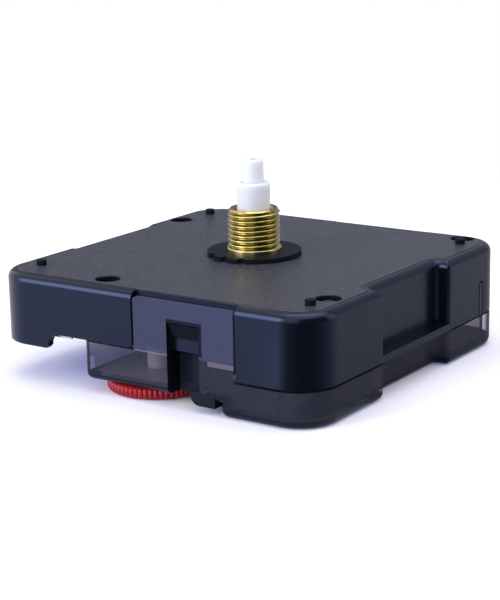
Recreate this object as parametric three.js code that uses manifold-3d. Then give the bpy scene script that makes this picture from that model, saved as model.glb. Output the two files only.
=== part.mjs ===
// Quartz clock movement: a black case with a dial-side plate, a smoky snap-on back cover, a brass threaded
// bush, the hand tubes, a red setting knob, and the stepping motor, gear train and circuit inside.
// Millimetres. The origin is on the hand shafts' axis in the plane that the back rests on; +Z points out of
// the dial side, -Y is the wall with the latch tab beside the knob, and the battery tray runs along -X.
import * as THREE from "three";
import { mergeVertices } from "three/addons/utils/BufferGeometryUtils.js";
import Module from "manifold-3d";

const wasm = await Module();
wasm.setup();

// Driving dimensions of the housing
const caseWidth = 56;
const caseLength = 56;
const caseTop = 16;
const cornerRadius = 6;
const edgeFillet = 1.2;
const caseWall = 1.2;
const plateThickness = 1.2;
const seamHeight = 5.3;
const seamGap = 0.25;
const coverWall = 1.1;
const coverFloor = 1.0;
const coverFillet = 1.2;
const trayWidth = 15.8;
const trayWallThickness = 1.1;
const trayWallFoot = 7.75;

// Clearances and sizes shared by many pieces
const runningGap = 0.05;
const pressGap = 0.03;
const endGap = 0.12;
const snapGap = 0.2;
const overrun = 0.6;
const sharpRadius = 0.05;
const wheelThickness = 0.7;
const pinRadius = 0.4;

// Facets of the round forms
const roundSides = 12;
const postSides = 8;
const tubeSides = 24;
const arborSides = 20;
const bushSides = 32;
const cornerSteps = 6;
const smallSteps = 2;
const filletSteps = 3;
const curveSteps = 4;

// The gear train: tooth numbers, modules and bearings of the arbors
const trainModule = 0.3;
const thirdModule = 0.333;
const rotorTeeth = 8;
const intermediateTeeth = 48;
const intermediatePinionTeeth = 10;
const secondTeeth = 50;
const secondPinionTeeth = 6;
const thirdTeeth = 45;
const thirdPinionTeeth = 7;
const centreTeeth = 56;
const motionModule = 0.384;
const minutePinionTeeth = 10;
const minuteWheelTeeth = 40;
const motionPinionTeeth = 12;
const hourTeeth = 36;
const settingTeeth = 24;
const intermediateBearing = THREE.MathUtils.degToRad(-22.6);
const rotorBearing = THREE.MathUtils.degToRad(-53.6);
const thirdBearing = THREE.MathUtils.degToRad(80);

const intermediateDistance = trainModule * (intermediatePinionTeeth + secondTeeth) / 2;
const rotorDistance = trainModule * (rotorTeeth + intermediateTeeth) / 2;
const thirdDistance = thirdModule * (secondPinionTeeth + thirdTeeth) / 2;
const centreModule = 2 * thirdDistance / (thirdPinionTeeth + centreTeeth);
const motionDistance = motionModule * (minutePinionTeeth + minuteWheelTeeth) / 2;
const hourModule = 2 * motionDistance / (motionPinionTeeth + hourTeeth);
const settingDistance = motionModule * (minuteWheelTeeth + settingTeeth) / 2;

// Tooth form as shares of the module and of the tooth pitch
const addendumShare = 0.82;
const dedendumShare = 1.25;
const leafRootShare = 0.56;
const leafCrestShare = 0.2;
const toothRootShare = 0.66;
const leafLimit = 30;

// Heights of the layers, from the resting plane up
const knobFoot = 0.1;
const knobThickness = 1.55;
const pocketRoof = 1.95;
const pocketFloorThickness = 1.05;
const intermediateHeight = 3.0;
const secondHeight = 4.4;
const thirdHeight = 6.2;
const middlePlateFoot = 7.6;
const middlePlateThickness = 1.2;
const centreHeight = 9.9;
const minutePinionHeight = 11.0;
const minutePinionLength = 1.4;
const motionHeight = 11.2;
const motionThickness = 1.0;
const hourHeight = 12.9;
const hourThickness = 1.0;

// The shafts and the bush, where the hands and the dial go
const bushRadius = 3.95;
const bushFlangeRadius = 4.14;
const bushFlangeThickness = 0.52;
const bushLength = 7.2;
const bushMouthRadius = 3.3;
const bushMouthDepth = 0.7;
const bushChamfer = 0.25;
const hourTubeRadius = 2.5;
const hourTubeTop = 27.1;
const hourTubeChamfer = 0.4;
const minuteTubeRadius = 1.6;
const minuteTubeTipRadius = 1.5;
const minuteTubeTop = 30.6;
const minuteTubeRound = 0.3;
const secondArborRadius = 0.5;
const collarRadius = 7.15;
const collarThickness = 0.75;

// The setting knob: its axis lies this far in from the front wall, or as far out as its gears reach
const knobX = -3.35;
const knobInset = 7.7;
const foldShare = 0.94;
const knobRadius = 7.5;
const serrations = 48;
const serrationDepth = 0.28;
const stemRadius = 1.6;
const pocketWallGap = 1.1;

const halfWidth = caseWidth / 2;
const halfLength = caseLength / 2;
const knobFarthest = Math.sqrt((foldShare * (motionDistance + settingDistance)) ** 2 - knobX ** 2);
const knobY = -Math.min(halfLength - knobInset, knobFarthest);
const plateUnderside = caseTop - plateThickness;
const caseFoot = seamHeight + seamGap / 2;
const coverRim = seamHeight - seamGap / 2;
const trayWallOuter = -halfWidth + caseWall + trayWidth;
const trayWallInner = trayWallOuter + trayWallThickness;
const pocketFloorTop = pocketRoof + pocketFloorThickness;
const pocketRadius = knobRadius + pocketWallGap;
const pocketEdge = knobX + pocketRadius;
const pocketBack = knobY + pocketRadius;
const middlePlateTop = middlePlateFoot + middlePlateThickness;
const tau = 2 * Math.PI;

// Turns a closed geometry into a solid: only positions are kept, shared vertices are merged, faces point out
function solid(geometry) {
  const bare = new THREE.BufferGeometry();
  bare.setAttribute("position", geometry.getAttribute("position").clone());
  if (geometry.index) {
    bare.setIndex(geometry.index.clone());
  }
  const merged = mergeVertices(bare);
  const places = merged.getAttribute("position");
  const triangles = [];
  let sixVolumes = 0;
  const a = new THREE.Vector3();
  const b = new THREE.Vector3();
  const c = new THREE.Vector3();
  for (let i = 0; i < merged.index.count; i += 3) {
    const corner = [0, 1, 2].map((k) => merged.index.getX(i + k));
    if (corner[0] === corner[1] || corner[1] === corner[2] || corner[2] === corner[0]) {
      continue;
    }
    triangles.push(corner);
    a.fromBufferAttribute(places, corner[0]);
    b.fromBufferAttribute(places, corner[1]);
    c.fromBufferAttribute(places, corner[2]);
    sixVolumes += a.dot(b.cross(c));
  }
  const outward = sixVolumes < 0 ? triangles.map((t) => [t[0], t[2], t[1]]) : triangles;
  return new wasm.Manifold(new wasm.Mesh({
    numProp: 3,
    vertProperties: Float32Array.from(places.array),
    triVerts: Uint32Array.from(outward.flat()),
  }));
}

// Joins a list of solids into one
function join(pieces) {
  return pieces.reduce((whole, piece) => whole.add(piece));
}

// Cuts a list of solids out of a body
function cut(body, tools) {
  return body.subtract(join(tools));
}

// A block between two bounds along each axis, given in either order
function block(x, y, z) {
  const size = [x, y, z].map((span) => Math.abs(span[1] - span[0]));
  const middle = [x, y, z].map((span) => (span[0] + span[1]) / 2);
  return solid(new THREE.BoxGeometry(...size).translate(...middle));
}

// An upright round rod
function rod(radius, low, high, x = 0, y = 0, sides = roundSides) {
  const geometry = new THREE.CylinderGeometry(radius, radius, high - low, sides);
  geometry.rotateX(Math.PI / 2);
  geometry.translate(x, y, (low + high) / 2);
  return solid(geometry);
}

// The tool for a round hole: its flats lie at the stated radius, so that a shaft can turn in it
function hole(radius, low, high, x = 0, y = 0, sides = roundSides) {
  return rod(clear(radius, sides), low, high, x, y, sides);
}
function clear(radius, sides = roundSides) {
  return radius / Math.cos(Math.PI / sides);
}

// A turned piece about the Z axis, from a closed profile of [radius, height] points
function turned(profile, sides = tubeSides) {
  const points = [...profile, profile[0]].map(([radius, height]) => new THREE.Vector2(radius, height));
  const geometry = new THREE.LatheGeometry(points, sides);
  geometry.rotateX(Math.PI / 2);
  return solid(geometry);
}

// A plan outline of [x, y] points, less its holes, raised from one height to another
function prism(outline, low, high, holes = []) {
  const shape = new THREE.Shape(outline.map(([x, y]) => new THREE.Vector2(x, y)));
  shape.holes = holes.map((hole) => new THREE.Path(hole.map(([x, y]) => new THREE.Vector2(x, y))));
  const geometry = new THREE.ExtrudeGeometry(shape, { depth: high - low, bevelEnabled: false });
  geometry.translate(0, 0, low);
  return solid(geometry);
}

// An outline drawn in X and Z, carried along Y between two bounds
function prismAlongY(outline, yLow, yHigh) {
  const shape = new THREE.Shape(outline.map(([x, z]) => new THREE.Vector2(x, z)));
  const geometry = new THREE.ExtrudeGeometry(shape, { depth: yHigh - yLow, bevelEnabled: false });
  geometry.rotateX(Math.PI / 2);
  geometry.translate(0, yHigh, 0);
  return solid(geometry);
}

// The points of a circle
function circle(radius, x = 0, y = 0, sides = roundSides) {
  return Array.from({ length: sides }, (unused, i) => [
    x + radius * Math.cos(tau * i / sides),
    y + radius * Math.sin(tau * i / sides),
  ]);
}

// The points of a quarter turn, one for each angle from 0 to a right angle
function quarter(steps, place) {
  return Array.from({ length: steps + 1 }, (unused, i) => place((Math.PI / 2) * i / steps));
}

// Corners of a right-angled outline, run anticlockwise as { x, y, r, steps }, shrunk by an inset and rounded.
// An outer corner's radius shrinks with the inset and an inner corner's grows, so walls keep their thickness,
// as far as the shorter side beside the corner has room for it.
function roundedOutline(corners, inset = 0) {
  const at = (i) => corners[(i + corners.length) % corners.length];
  const heading = (i) => [Math.sign(at(i + 1).x - at(i).x), Math.sign(at(i + 1).y - at(i).y)];
  const turnAt = (i) => {
    const [inX, inY] = heading(i - 1);
    const [outX, outY] = heading(i);
    return inX * outY - inY * outX;
  };
  const grown = (i) => Math.max(at(i).r - turnAt(i) * inset, sharpRadius);
  const room = (i, other) => {
    const side = Math.abs(at(other).x - at(i).x) + Math.abs(at(other).y - at(i).y)
      - inset * (turnAt(i) + turnAt(other));
    return Math.max(side - grown(other) - sharpRadius, (side - sharpRadius) / 2);
  };
  const points = [];
  corners.forEach((corner, i) => {
    const [inX, inY] = heading(i - 1);
    const [outX, outY] = heading(i);
    const turn = turnAt(i);
    const radius = Math.min(grown(i), room(i, i - 1), room(i, i + 1));
    const centreX = corner.x - inset * (inY + outY) + radius * (outX - inX);
    const centreY = corner.y + inset * (inX + outX) + radius * (outY - inY);
    const start = Math.atan2(-outY, -outX);
    for (let k = 0; k <= corner.steps; k += 1) {
      const angle = start + turn * (Math.PI / 2) * k / corner.steps;
      points.push([centreX + radius * Math.cos(angle), centreY + radius * Math.sin(angle)]);
    }
  });
  return points;
}

// A closed body lofted through rings of equal point counts, each { points, height }, from the lowest up
function loft(rings) {
  const count = rings[0].points.length;
  const positions = rings.flatMap((ring) => ring.points.flatMap(([x, y]) => [x, y, ring.height]));
  const faces = [];
  for (let ring = 0; ring + 1 < rings.length; ring += 1) {
    for (let i = 0; i < count; i += 1) {
      const here = ring * count + i;
      const next = ring * count + (i + 1) % count;
      faces.push(here, next, next + count, here, next + count, here + count);
    }
  }
  const cap = (ring, flip) => {
    const contour = ring.points.map(([x, y]) => new THREE.Vector2(x, y));
    const start = rings.indexOf(ring) * count;
    THREE.ShapeUtils.triangulateShape(contour, []).forEach(([a, b, c]) => {
      faces.push(start + a, start + (flip ? c : b), start + (flip ? b : c));
    });
  };
  cap(rings[0], true);
  cap(rings[rings.length - 1], false);
  const geometry = new THREE.BufferGeometry();
  geometry.setAttribute("position", new THREE.Float32BufferAttribute(positions, 3));
  geometry.setIndex(faces);
  return solid(geometry);
}

// The rings of a quarter-round edge: inset and height along an arc that ends at the flat face
function filletRings(corners, radius, flatHeight, direction) {
  return quarter(filletSteps, (angle) => ({
    points: roundedOutline(corners, radius * (1 - Math.cos(angle))),
    height: flatHeight - direction * radius * (1 - Math.sin(angle)),
  }));
}

// A gear with a tooth on the +X axis before it is turned by its phase. A pinion's leaves have a flat crest,
// and a wheel's teeth run out to a point, as clock wheels' do.
function gear(module, teeth, low, high, bore = 0, phase = 0) {
  const pitchRadius = module * teeth / 2;
  const tip = pitchRadius + addendumShare * module;
  const root = pitchRadius - dedendumShare * module;
  const pitch = tau / teeth;
  const isPinion = teeth < leafLimit;
  const rootShare = isPinion ? leafRootShare : toothRootShare;
  const outline = [];
  for (let tooth = 0; tooth < teeth; tooth += 1) {
    const centre = phase + tooth * pitch;
    outline.push(polar(root, centre - pitch * rootShare / 2));
    if (isPinion) {
      outline.push(polar(tip, centre - pitch * leafCrestShare / 2));
      outline.push(polar(tip, centre + pitch * leafCrestShare / 2));
    } else {
      outline.push(polar(tip, centre));
    }
    outline.push(polar(root, centre + pitch * rootShare / 2));
  }
  return prism(outline, low, high, bore > 0 ? [circle(clear(bore))] : []);
}

function polar(radius, angle) {
  return [radius * Math.cos(angle), radius * Math.sin(angle)];
}

// The phase that puts a gap of the driven gear over a tooth of its driver, for any phase of the driver
function meshPhase(bearing, driverTeeth, driverPhase, drivenTeeth) {
  return bearing + Math.PI + Math.PI / drivenTeeth - (driverTeeth / drivenTeeth) * (driverPhase - bearing);
}

const movement = new THREE.Group();

// Puts a solid into the scene graph as a named mesh
function add(name, body, material, x = 0, y = 0, turn = 0) {
  const made = body.getMesh();
  const geometry = new THREE.BufferGeometry();
  geometry.setAttribute("position", new THREE.BufferAttribute(made.vertProperties, made.numProp));
  geometry.setIndex(new THREE.BufferAttribute(made.triVerts, 1));
  geometry.computeVertexNormals();
  const mesh = new THREE.Mesh(geometry, material);
  mesh.name = name;
  mesh.position.set(x, y, 0);
  mesh.rotation.z = turn;
  movement.add(mesh);
}

function finish(color, roughness, metalness = 0) {
  return new THREE.MeshStandardMaterial({ color, roughness, metalness });
}

const blackPlastic = finish(0x24262e, 0.45);
const smokyPlastic = finish(0x4a4a60, 0.2);
smokyPlastic.transparent = true;
smokyPlastic.opacity = 0.7;
const brass = finish(0xc8a53a, 0.25, 1);
const whitePlastic = finish(0xececf4, 0.4);
const redPlastic = finish(0xb81c2c, 0.45);
const gearPlastic = finish(0xe6e2d4, 0.5);
const settingPlastic = finish(0xd8d8da, 0.5);
const platePlastic = finish(0xdedcd2, 0.55);
const steel = finish(0xb9bcc0, 0.3, 1);
const softIron = finish(0x8d9094, 0.4, 1);
const magnetMaterial = finish(0x3c3a3c, 0.6, 0.4);
const bobbinPlastic = finish(0x2a2422, 0.5);
const copperWire = finish(0xa8552c, 0.35, 1);
const boardMaterial = finish(0x9a7a3a, 0.6);
const epoxy = finish(0x16161a, 0.35);
const canMetal = finish(0xc9ccd0, 0.25, 1);
const springMetal = finish(0xc4c6c8, 0.25, 1);

// Places of the arbors, worked out from the gears that mesh
function along(from, distance, bearing) {
  return [from[0] + distance * Math.cos(bearing), from[1] + distance * Math.sin(bearing)];
}
const centre = [0, 0];
const knobAxis = [knobX, knobY];
const intermediateAxis = along(centre, intermediateDistance, intermediateBearing);
const rotorAxis = along(intermediateAxis, rotorDistance, rotorBearing);
const thirdAxis = along(centre, thirdDistance, thirdBearing);
const knobReach = Math.hypot(knobX, knobY);
const knobBearing = Math.atan2(knobY, knobX);
const motionAngle = Math.acos((motionDistance ** 2 + knobReach ** 2 - settingDistance ** 2)
  / (2 * motionDistance * knobReach));
const motionBearing = knobBearing + motionAngle;
const motionAxis = along(centre, motionDistance, motionBearing);
const settingBearing = Math.atan2(motionAxis[1] - knobY, motionAxis[0] - knobX);

// Phases, so that every pair is in mesh at rest
const secondPhase = 0;
const intermediatePinionPhase = meshPhase(intermediateBearing, secondTeeth, secondPhase,
  intermediatePinionTeeth);
const intermediatePhase = 0;
const rotorPhase = meshPhase(rotorBearing, intermediateTeeth, intermediatePhase, rotorTeeth);
const secondPinionPhase = 0;
const thirdPhase = meshPhase(thirdBearing, secondPinionTeeth, secondPinionPhase, thirdTeeth);
const thirdPinionPhase = 0;
const centrePhase = meshPhase(thirdBearing + Math.PI, thirdPinionTeeth, thirdPinionPhase, centreTeeth);
const settingPhase = 0;
const motionPhase = meshPhase(settingBearing, settingTeeth, settingPhase, minuteWheelTeeth);
const minutePhase = meshPhase(motionBearing + Math.PI, minuteWheelTeeth, motionPhase, minutePinionTeeth);
const motionPinionPhase = 0;
const hourPhase = meshPhase(motionBearing + Math.PI, motionPinionTeeth, motionPinionPhase, hourTeeth);

// Recesses in the side walls: a deep one at +X, where the wall steps in, and a shallow one beside the tray
const recessLow = -9.5;
const recessHigh = 9.8;
const recessDepth = 2.1;
const recessCorner = 0.6;
const recessShelfTop = 6.5;
const trayRecessLow = recessLow;
const trayRecessHigh = recessHigh;
const trayRecessDepth = 0.7;
const trayRecessCorner = 0.35;

const rightSide = [
  { x: halfWidth, y: -halfLength, r: cornerRadius, steps: cornerSteps },
  { x: halfWidth, y: recessLow, r: recessCorner, steps: smallSteps },
  { x: halfWidth - recessDepth, y: recessLow, r: recessCorner, steps: smallSteps },
  { x: halfWidth - recessDepth, y: recessHigh, r: recessCorner, steps: smallSteps },
  { x: halfWidth, y: recessHigh, r: recessCorner, steps: smallSteps },
  { x: halfWidth, y: halfLength, r: cornerRadius, steps: cornerSteps },
];
const caseCorners = [
  ...rightSide,
  { x: -halfWidth, y: halfLength, r: cornerRadius, steps: cornerSteps },
  { x: -halfWidth, y: trayRecessHigh, r: trayRecessCorner, steps: smallSteps },
  { x: -halfWidth + trayRecessDepth, y: trayRecessHigh, r: trayRecessCorner, steps: smallSteps },
  { x: -halfWidth + trayRecessDepth, y: trayRecessLow, r: trayRecessCorner, steps: smallSteps },
  { x: -halfWidth, y: trayRecessLow, r: trayRecessCorner, steps: smallSteps },
  { x: -halfWidth, y: -halfLength, r: cornerRadius, steps: cornerSteps },
];

// Latches: the case's wall is set back behind each tab of the cover, and a wedge there fills the tab's window
const tabLeft = -1.75;
const tabRight = 15.2;
const tabTop = 15.25;
const tabThickness = 1.0;
const tabCorner = 0.3;
const pocketSide = 0.35;
const innerWallThickness = 0.8;
const windowLeft = 4.0;
const windowRight = 9.45;
const windowFoot = 8.15;
const windowTop = 12.3;
const hookHeight = 2.2;
const hookReach = 1.0;
const channelDepth = 3.0;
const channelWall = 0.8;
const latchSides = [-1, 1];
const pocketLeft = tabLeft - pocketSide;
const pocketRight = tabRight + pocketSide;

// Front case

const notchLegWidth = 10;
const notchLeft = -halfWidth + notchLegWidth;
const notchStepRise = 0.45;
const notchStepRun = 0.4;
const notchRadius = 1.9;
const wallEndChamfer = 0.45;

// The lower edge of the end walls: a leg by the tray's corner, then a rounded step up over the cover's wall
function notchTool(side) {
  const stepX = notchLeft + notchStepRun;
  const stepZ = caseFoot + notchStepRise;
  const curve = quarter(curveSteps, (angle) => [
    stepX + notchRadius * (1 - Math.cos(angle)),
    stepZ + (trayWallFoot - stepZ) * Math.sin(angle),
  ]);
  const outline = [
    [notchLeft, caseFoot - overrun],
    [notchLeft, caseFoot],
    ...curve,
    [pocketLeft - wallEndChamfer, trayWallFoot],
    [pocketLeft, trayWallFoot + wallEndChamfer],
    [pocketLeft + overrun, trayWallFoot + wallEndChamfer],
    [pocketLeft + overrun, caseFoot - overrun],
  ];
  const outer = side * (halfLength + overrun);
  const inner = side * (halfLength - caseWall - overrun);
  return prismAlongY(outline, Math.min(outer, inner), Math.max(outer, inner));
}

// The wedge that a tab's window drops over: flat on top, sloping below so that the tab can ride over it
function latchHook(side) {
  const root = side * (halfLength - edgeFillet - innerWallThickness / 2);
  const face = side * (halfLength - edgeFillet);
  const nose = side * (halfLength - edgeFillet + hookReach);
  const top = windowTop - snapGap;
  const profile = [[root, top], [nose, top], [face, top - hookHeight], [root, top - hookHeight]];
  const shape = new THREE.Shape(profile.map(([y, z]) => new THREE.Vector2(y, z)));
  const width = windowRight - windowLeft - 2 * snapGap;
  const geometry = new THREE.ExtrudeGeometry(shape, { depth: width, bevelEnabled: false });
  geometry.rotateX(Math.PI / 2);
  geometry.rotateZ(Math.PI / 2);
  geometry.translate(windowLeft + snapGap, 0, 0);
  return solid(geometry);
}

const collarNotchRadius = 0.62;
const collarNotchBearings = [-120, -96, -72].map(THREE.MathUtils.degToRad);
const pinInsetX = 4.4;
const pinInsetY = 6.3;
const pinX = halfWidth - pinInsetX;
const pinY = halfLength - pinInsetY;
const locatingPinRadius = 0.78;
const locatingPinHeight = 0.8;
const holeRadius = 1.85;
const throughHoleInset = 3.1;
const throughHoleX = -halfWidth + throughHoleInset;
const throughHoleY = 15.3;
const partitionHoleOffset = 0.5;
const partitionHoleInset = 4.3;
const partitionHoleX = trayWallInner + partitionHoleOffset;
const partitionHoleY = -halfLength + partitionHoleInset;
const partitionHoleDepth = 3.2;
const nearHoleInsetX = 4.1;
const nearHoleInsetY = 10.4;
const nearHoleX = halfWidth - nearHoleInsetX;
const nearHoleY = -halfLength + nearHoleInsetY;
const farHoleInsetX = 5.7;
const farHoleInsetY = 3.0;
const farHoleX = halfWidth - farHoleInsetX;
const farHoleY = halfLength - farHoleInsetY;
const blindHoles = [[nearHoleX, nearHoleY], [farHoleX, farHoleY]];
const blindHoleDepth = 2.0;
const blindBossRadius = 2.7;
const blindBossLength = 2.9;
const holePinRadius = 0.75;
const holePinDrop = 0.7;
const postRadius = 1.3;
const postTrayGap = 2.3;
const postPocketGap = 1.5;
const postLeft = trayWallInner + postTrayGap;
const postRight = 16.4;
const postFar = 14.4;
const postNear = pocketBack + postPocketGap;
const latchPostX = 10.6;
const latchPostInset = 5.6;
const latchPostY = -halfLength + latchPostInset;
const postPlaces = [
  [postLeft, postNear],
  [postLeft, postFar],
  [postRight, postFar],
  [latchPostX, latchPostY],
];
const thirdBossRadius = 0.8;
const thirdBossFoot = 11.2;
const settingBossRadius = 1.6;
const settingBossLength = 1.5;
const settingPivotRadius = 0.8;
const slotWidth = 1.3;
const slotTop = 10.1;
const latchSlitInset = 6.9;
const latchSlitSpan = 1.5;
const latchSlitHigh = halfLength - latchSlitInset;
const latchSlitLow = latchSlitHigh - latchSlitSpan;
const latchSlitTop = 10.9;
const latchSlitWidth = 0.25;
const latchSlitDepth = 0.45;

// The arch of a thin slit round the snap tongue in the +X wall
function latchSlit() {
  const radius = (latchSlitHigh - latchSlitLow) / 2;
  const middle = (latchSlitHigh + latchSlitLow) / 2;
  const arch = (r) => quarter(curveSteps, (angle) => [
    middle + r * Math.cos(2 * angle),
    latchSlitTop - radius + r * Math.sin(2 * angle),
  ]);
  const outline = [
    [latchSlitHigh, caseFoot - overrun],
    ...arch(radius),
    [latchSlitLow, caseFoot - overrun],
    [latchSlitLow + latchSlitWidth, caseFoot - overrun],
    ...arch(radius - latchSlitWidth).reverse(),
    [latchSlitHigh - latchSlitWidth, caseFoot - overrun],
  ];
  const shape = new THREE.Shape(outline.map(([y, z]) => new THREE.Vector2(y, z)));
  const geometry = new THREE.ExtrudeGeometry(shape, { depth: latchSlitDepth + overrun, bevelEnabled: false });
  geometry.rotateX(Math.PI / 2);
  geometry.rotateZ(Math.PI / 2);
  geometry.translate(halfWidth - latchSlitDepth, 0, 0);
  return solid(geometry);
}

function frontCase() {
  const shell = loft([
    { points: roundedOutline(caseCorners), height: caseFoot },
    ...filletRings(caseCorners, edgeFillet, caseTop, 1),
  ]);
  const cavity = prism(roundedOutline(caseCorners, caseWall), caseFoot - overrun, plateUnderside);
  const shelf = block([halfWidth - recessDepth - caseWall, halfWidth],
    [recessLow - recessCorner, recessHigh + recessCorner], [caseFoot, recessShelfTop]);
  const partition = block([trayWallOuter, trayWallInner],
    [-halfLength + caseWall / 2, halfLength - caseWall / 2],
    [trayWallFoot, plateUnderside + plateThickness / 2]);
  let body = join([cut(shell, [cavity]), shelf, partition]);

  body = cut(body, latchSides.flatMap((side) => [
    notchTool(side),
    block([pocketLeft, pocketRight], [side * (halfLength + overrun), side * (halfLength - edgeFillet)],
      [caseFoot - overrun, caseTop + overrun]),
    block([pocketLeft, pocketRight],
      [side * (halfLength - caseWall / 2), side * (halfLength - caseWall - overrun)],
      [caseFoot - overrun, windowFoot]),
  ]));
  body = join([body, ...latchSides.flatMap((side) => [
    block([pocketLeft - caseWall, pocketRight + caseWall],
      [side * (halfLength - edgeFillet), side * (halfLength - edgeFillet - innerWallThickness)],
      [windowFoot, plateUnderside + plateThickness / 2]),
    latchHook(side),
  ])]);

  const bosses = [
    ...postPlaces.map(([x, y]) =>
      rod(postRadius, middlePlateTop + endGap, plateUnderside + plateThickness / 2, x, y, postSides)),
    ...blindHoles.map(([x, y]) =>
      rod(blindBossRadius, caseTop - blindBossLength, caseTop - plateThickness / 2, x, y)
        .intersect(prism(roundedOutline(caseCorners, caseWall / 2), 0, caseTop))),
    rod(thirdBossRadius, thirdBossFoot, plateUnderside + plateThickness / 2, ...thirdAxis, postSides),
    rod(settingBossRadius, plateUnderside - settingBossLength, plateUnderside + plateThickness / 2,
      ...knobAxis),
    rod(collarRadius, caseTop - plateThickness / 2, caseTop + collarThickness, 0, 0, bushSides),
    ...[[pinX, pinY], [-pinX, pinY], [-pinX, -pinY], [pinX, -pinY]].map(([x, y]) =>
      rod(locatingPinRadius, caseTop - plateThickness / 2, caseTop + locatingPinHeight, x, y, postSides)),
  ];
  body = join([body, ...bosses]);

  const collarNotches = collarNotchBearings.map((bearing) => {
    const [x, y] = polar(collarRadius, bearing);
    return rod(collarNotchRadius, caseTop, caseTop + collarThickness + overrun, x, y, postSides);
  });
  body = cut(body, [
    hole(bushFlangeRadius + pressGap, plateUnderside - overrun, caseTop + collarThickness + overrun, 0, 0,
      bushSides),
    rod(holeRadius, plateUnderside - overrun, caseTop + overrun, throughHoleX, throughHoleY),
    rod(holeRadius, caseTop - partitionHoleDepth, caseTop + overrun, partitionHoleX, partitionHoleY),
    ...blindHoles.map(([x, y]) => rod(holeRadius, caseTop - blindHoleDepth, caseTop + overrun, x, y)),
    hole(pinRadius + pressGap, thirdBossFoot - overrun, plateUnderside - endGap, ...thirdAxis, postSides),
    hole(settingPivotRadius + runningGap, plateUnderside - settingBossLength - overrun,
      plateUnderside - endGap, ...knobAxis),
    ...latchSides.map((side) => block([trayWallOuter - overrun, trayWallInner + overrun],
      [side * (halfLength - caseWall - slotWidth), side * (halfLength - caseWall)],
      [trayWallFoot - overrun, slotTop])),
    ...collarNotches,
    latchSlit(),
  ]);
  const holePins = blindHoles.map(([x, y]) =>
    rod(holePinRadius, caseTop - blindHoleDepth - endGap, caseTop - holePinDrop, x, y, postSides));
  return join([body, ...holePins]);
}
add("front_case", frontCase(), blackPlastic);

// Back cover

// Heights and places inside that the cover's posts and bosses share with the pieces that they carry
const pinFoot = 1.3;
const secondArborFoot = 2.4;
const stakePostRadius = 0.9;
const stakeRadius = 0.5;
const stakeHead = 0.35;
const statorFoot = 4.95;
const statorThickness = 0.75;
const coreThickness = 0.8;
const coilInset = 5.5;
const coilX = halfWidth - coilInset;
const coreWidth = 2.4;
const coreInset = 2.1;
const coreBackOffset = 1.3;
const coreFront = -halfLength + coreInset;
const coreBack = recessLow + coreBackOffset;
const coreEndLength = 1.4;
const boardFoot = 6.9;
const boardThickness = 1.0;
const boardInset = 4.1;
const boardFront = 17.2;
const boardBack = halfLength - boardInset;
const circuitRow = (boardFront + boardBack) / 2;
const statorTop = statorFoot + statorThickness;
const coreFoot = statorTop + runningGap;
const coreTop = coreFoot + coreThickness;
const boardTop = boardFoot + boardThickness;
const stakePlaces = [[coilX, coreFront + coreEndLength / 2], [coilX, coreBack - coreEndLength / 2]];
const boardPostTrayGap = 3.5;
const boardPostDrop = 0.15;
const legPostOffset = 0.8;
const boardPostLeft = trayWallInner + boardPostTrayGap;
const boardPostRight = 17.2;
const boardPostRow = circuitRow - boardPostDrop;
const legPostX = coilX - legPostOffset;
const legPostY = -4.6;
const boardPosts = [[boardPostLeft, boardPostRow], [boardPostRight, boardPostRow], [legPostX, legPostY]];
const statorRestAcross = 2.2;
const statorRestDown = 6.2;
const statorRest = [rotorAxis[0] + statorRestAcross, rotorAxis[1] - statorRestDown];
const statorRestRadius = 0.7;

const deepBlockLeft = 12.6;
const deepBlockOffset = 2.3;
const deepBlockBack = knobY - deepBlockOffset;
const lugLeft = 7.8;
const lugRight = 11.95;
const lugFoot = 1.1;
const lugRadius = 1.6;
const pocketEdgeFillet = 1.0;
const coverCorner = 1.2;
const coverLeftTop = trayWallFoot - snapGap;
const bossRadius = 1.4;
const thirdBossTop = 4.0;
const intermediateBossTop = 2.6;
const rotorBossTop = 2.3;
const secondBossTop = 3.9;
const secondBossRadius = 1.0;
const rotorPivotRadius = 0.35;

// The cover's plan at its rim, and the plan of its deep part, which leaves the knob's pocket out
const coverCorners = [
  ...rightSide,
  { x: trayWallOuter, y: halfLength, r: coverCorner, steps: smallSteps },
  { x: trayWallOuter, y: -halfLength, r: coverCorner, steps: smallSteps },
];
const deepCorners = [
  { x: deepBlockLeft, y: -halfLength, r: coverCorner, steps: smallSteps },
  ...rightSide,
  { x: trayWallOuter, y: halfLength, r: coverCorner, steps: smallSteps },
  { x: trayWallOuter, y: pocketBack, r: coverCorner, steps: smallSteps },
  { x: pocketEdge, y: pocketBack, r: pocketRadius, steps: cornerSteps },
  { x: pocketEdge, y: deepBlockBack, r: coverCorner / 2, steps: smallSteps },
  { x: deepBlockLeft, y: deepBlockBack, r: coverCorner / 2, steps: smallSteps },
];

// The cover's latch tab: a tongue flush with the case's wall; its window is cut once it is joined
function latchTab(side) {
  const outer = side * halfLength;
  const inner = side * (halfLength - tabThickness);
  const outline = [
    [tabLeft, coverRim - overrun],
    [tabRight, coverRim - overrun],
    [tabRight, tabTop - tabCorner],
    [tabRight - tabCorner, tabTop],
    [tabLeft + tabCorner, tabTop],
    [tabLeft, tabTop - tabCorner],
  ];
  return prismAlongY(outline, Math.min(outer, inner), Math.max(outer, inner));
}

// The channel that runs down from the window: its back and side walls, and the space in it
function channelWalls(side) {
  return block([windowLeft - channelWall, windowRight + channelWall],
    [side * (halfLength - coverWall / 2), side * (halfLength - channelDepth - channelWall)],
    [pocketRoof, windowFoot - snapGap]);
}
function channelSpace(side, foot) {
  return block([windowLeft, windowRight], [side * (halfLength + overrun), side * (halfLength - channelDepth)],
    [foot, windowTop]);
}

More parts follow.
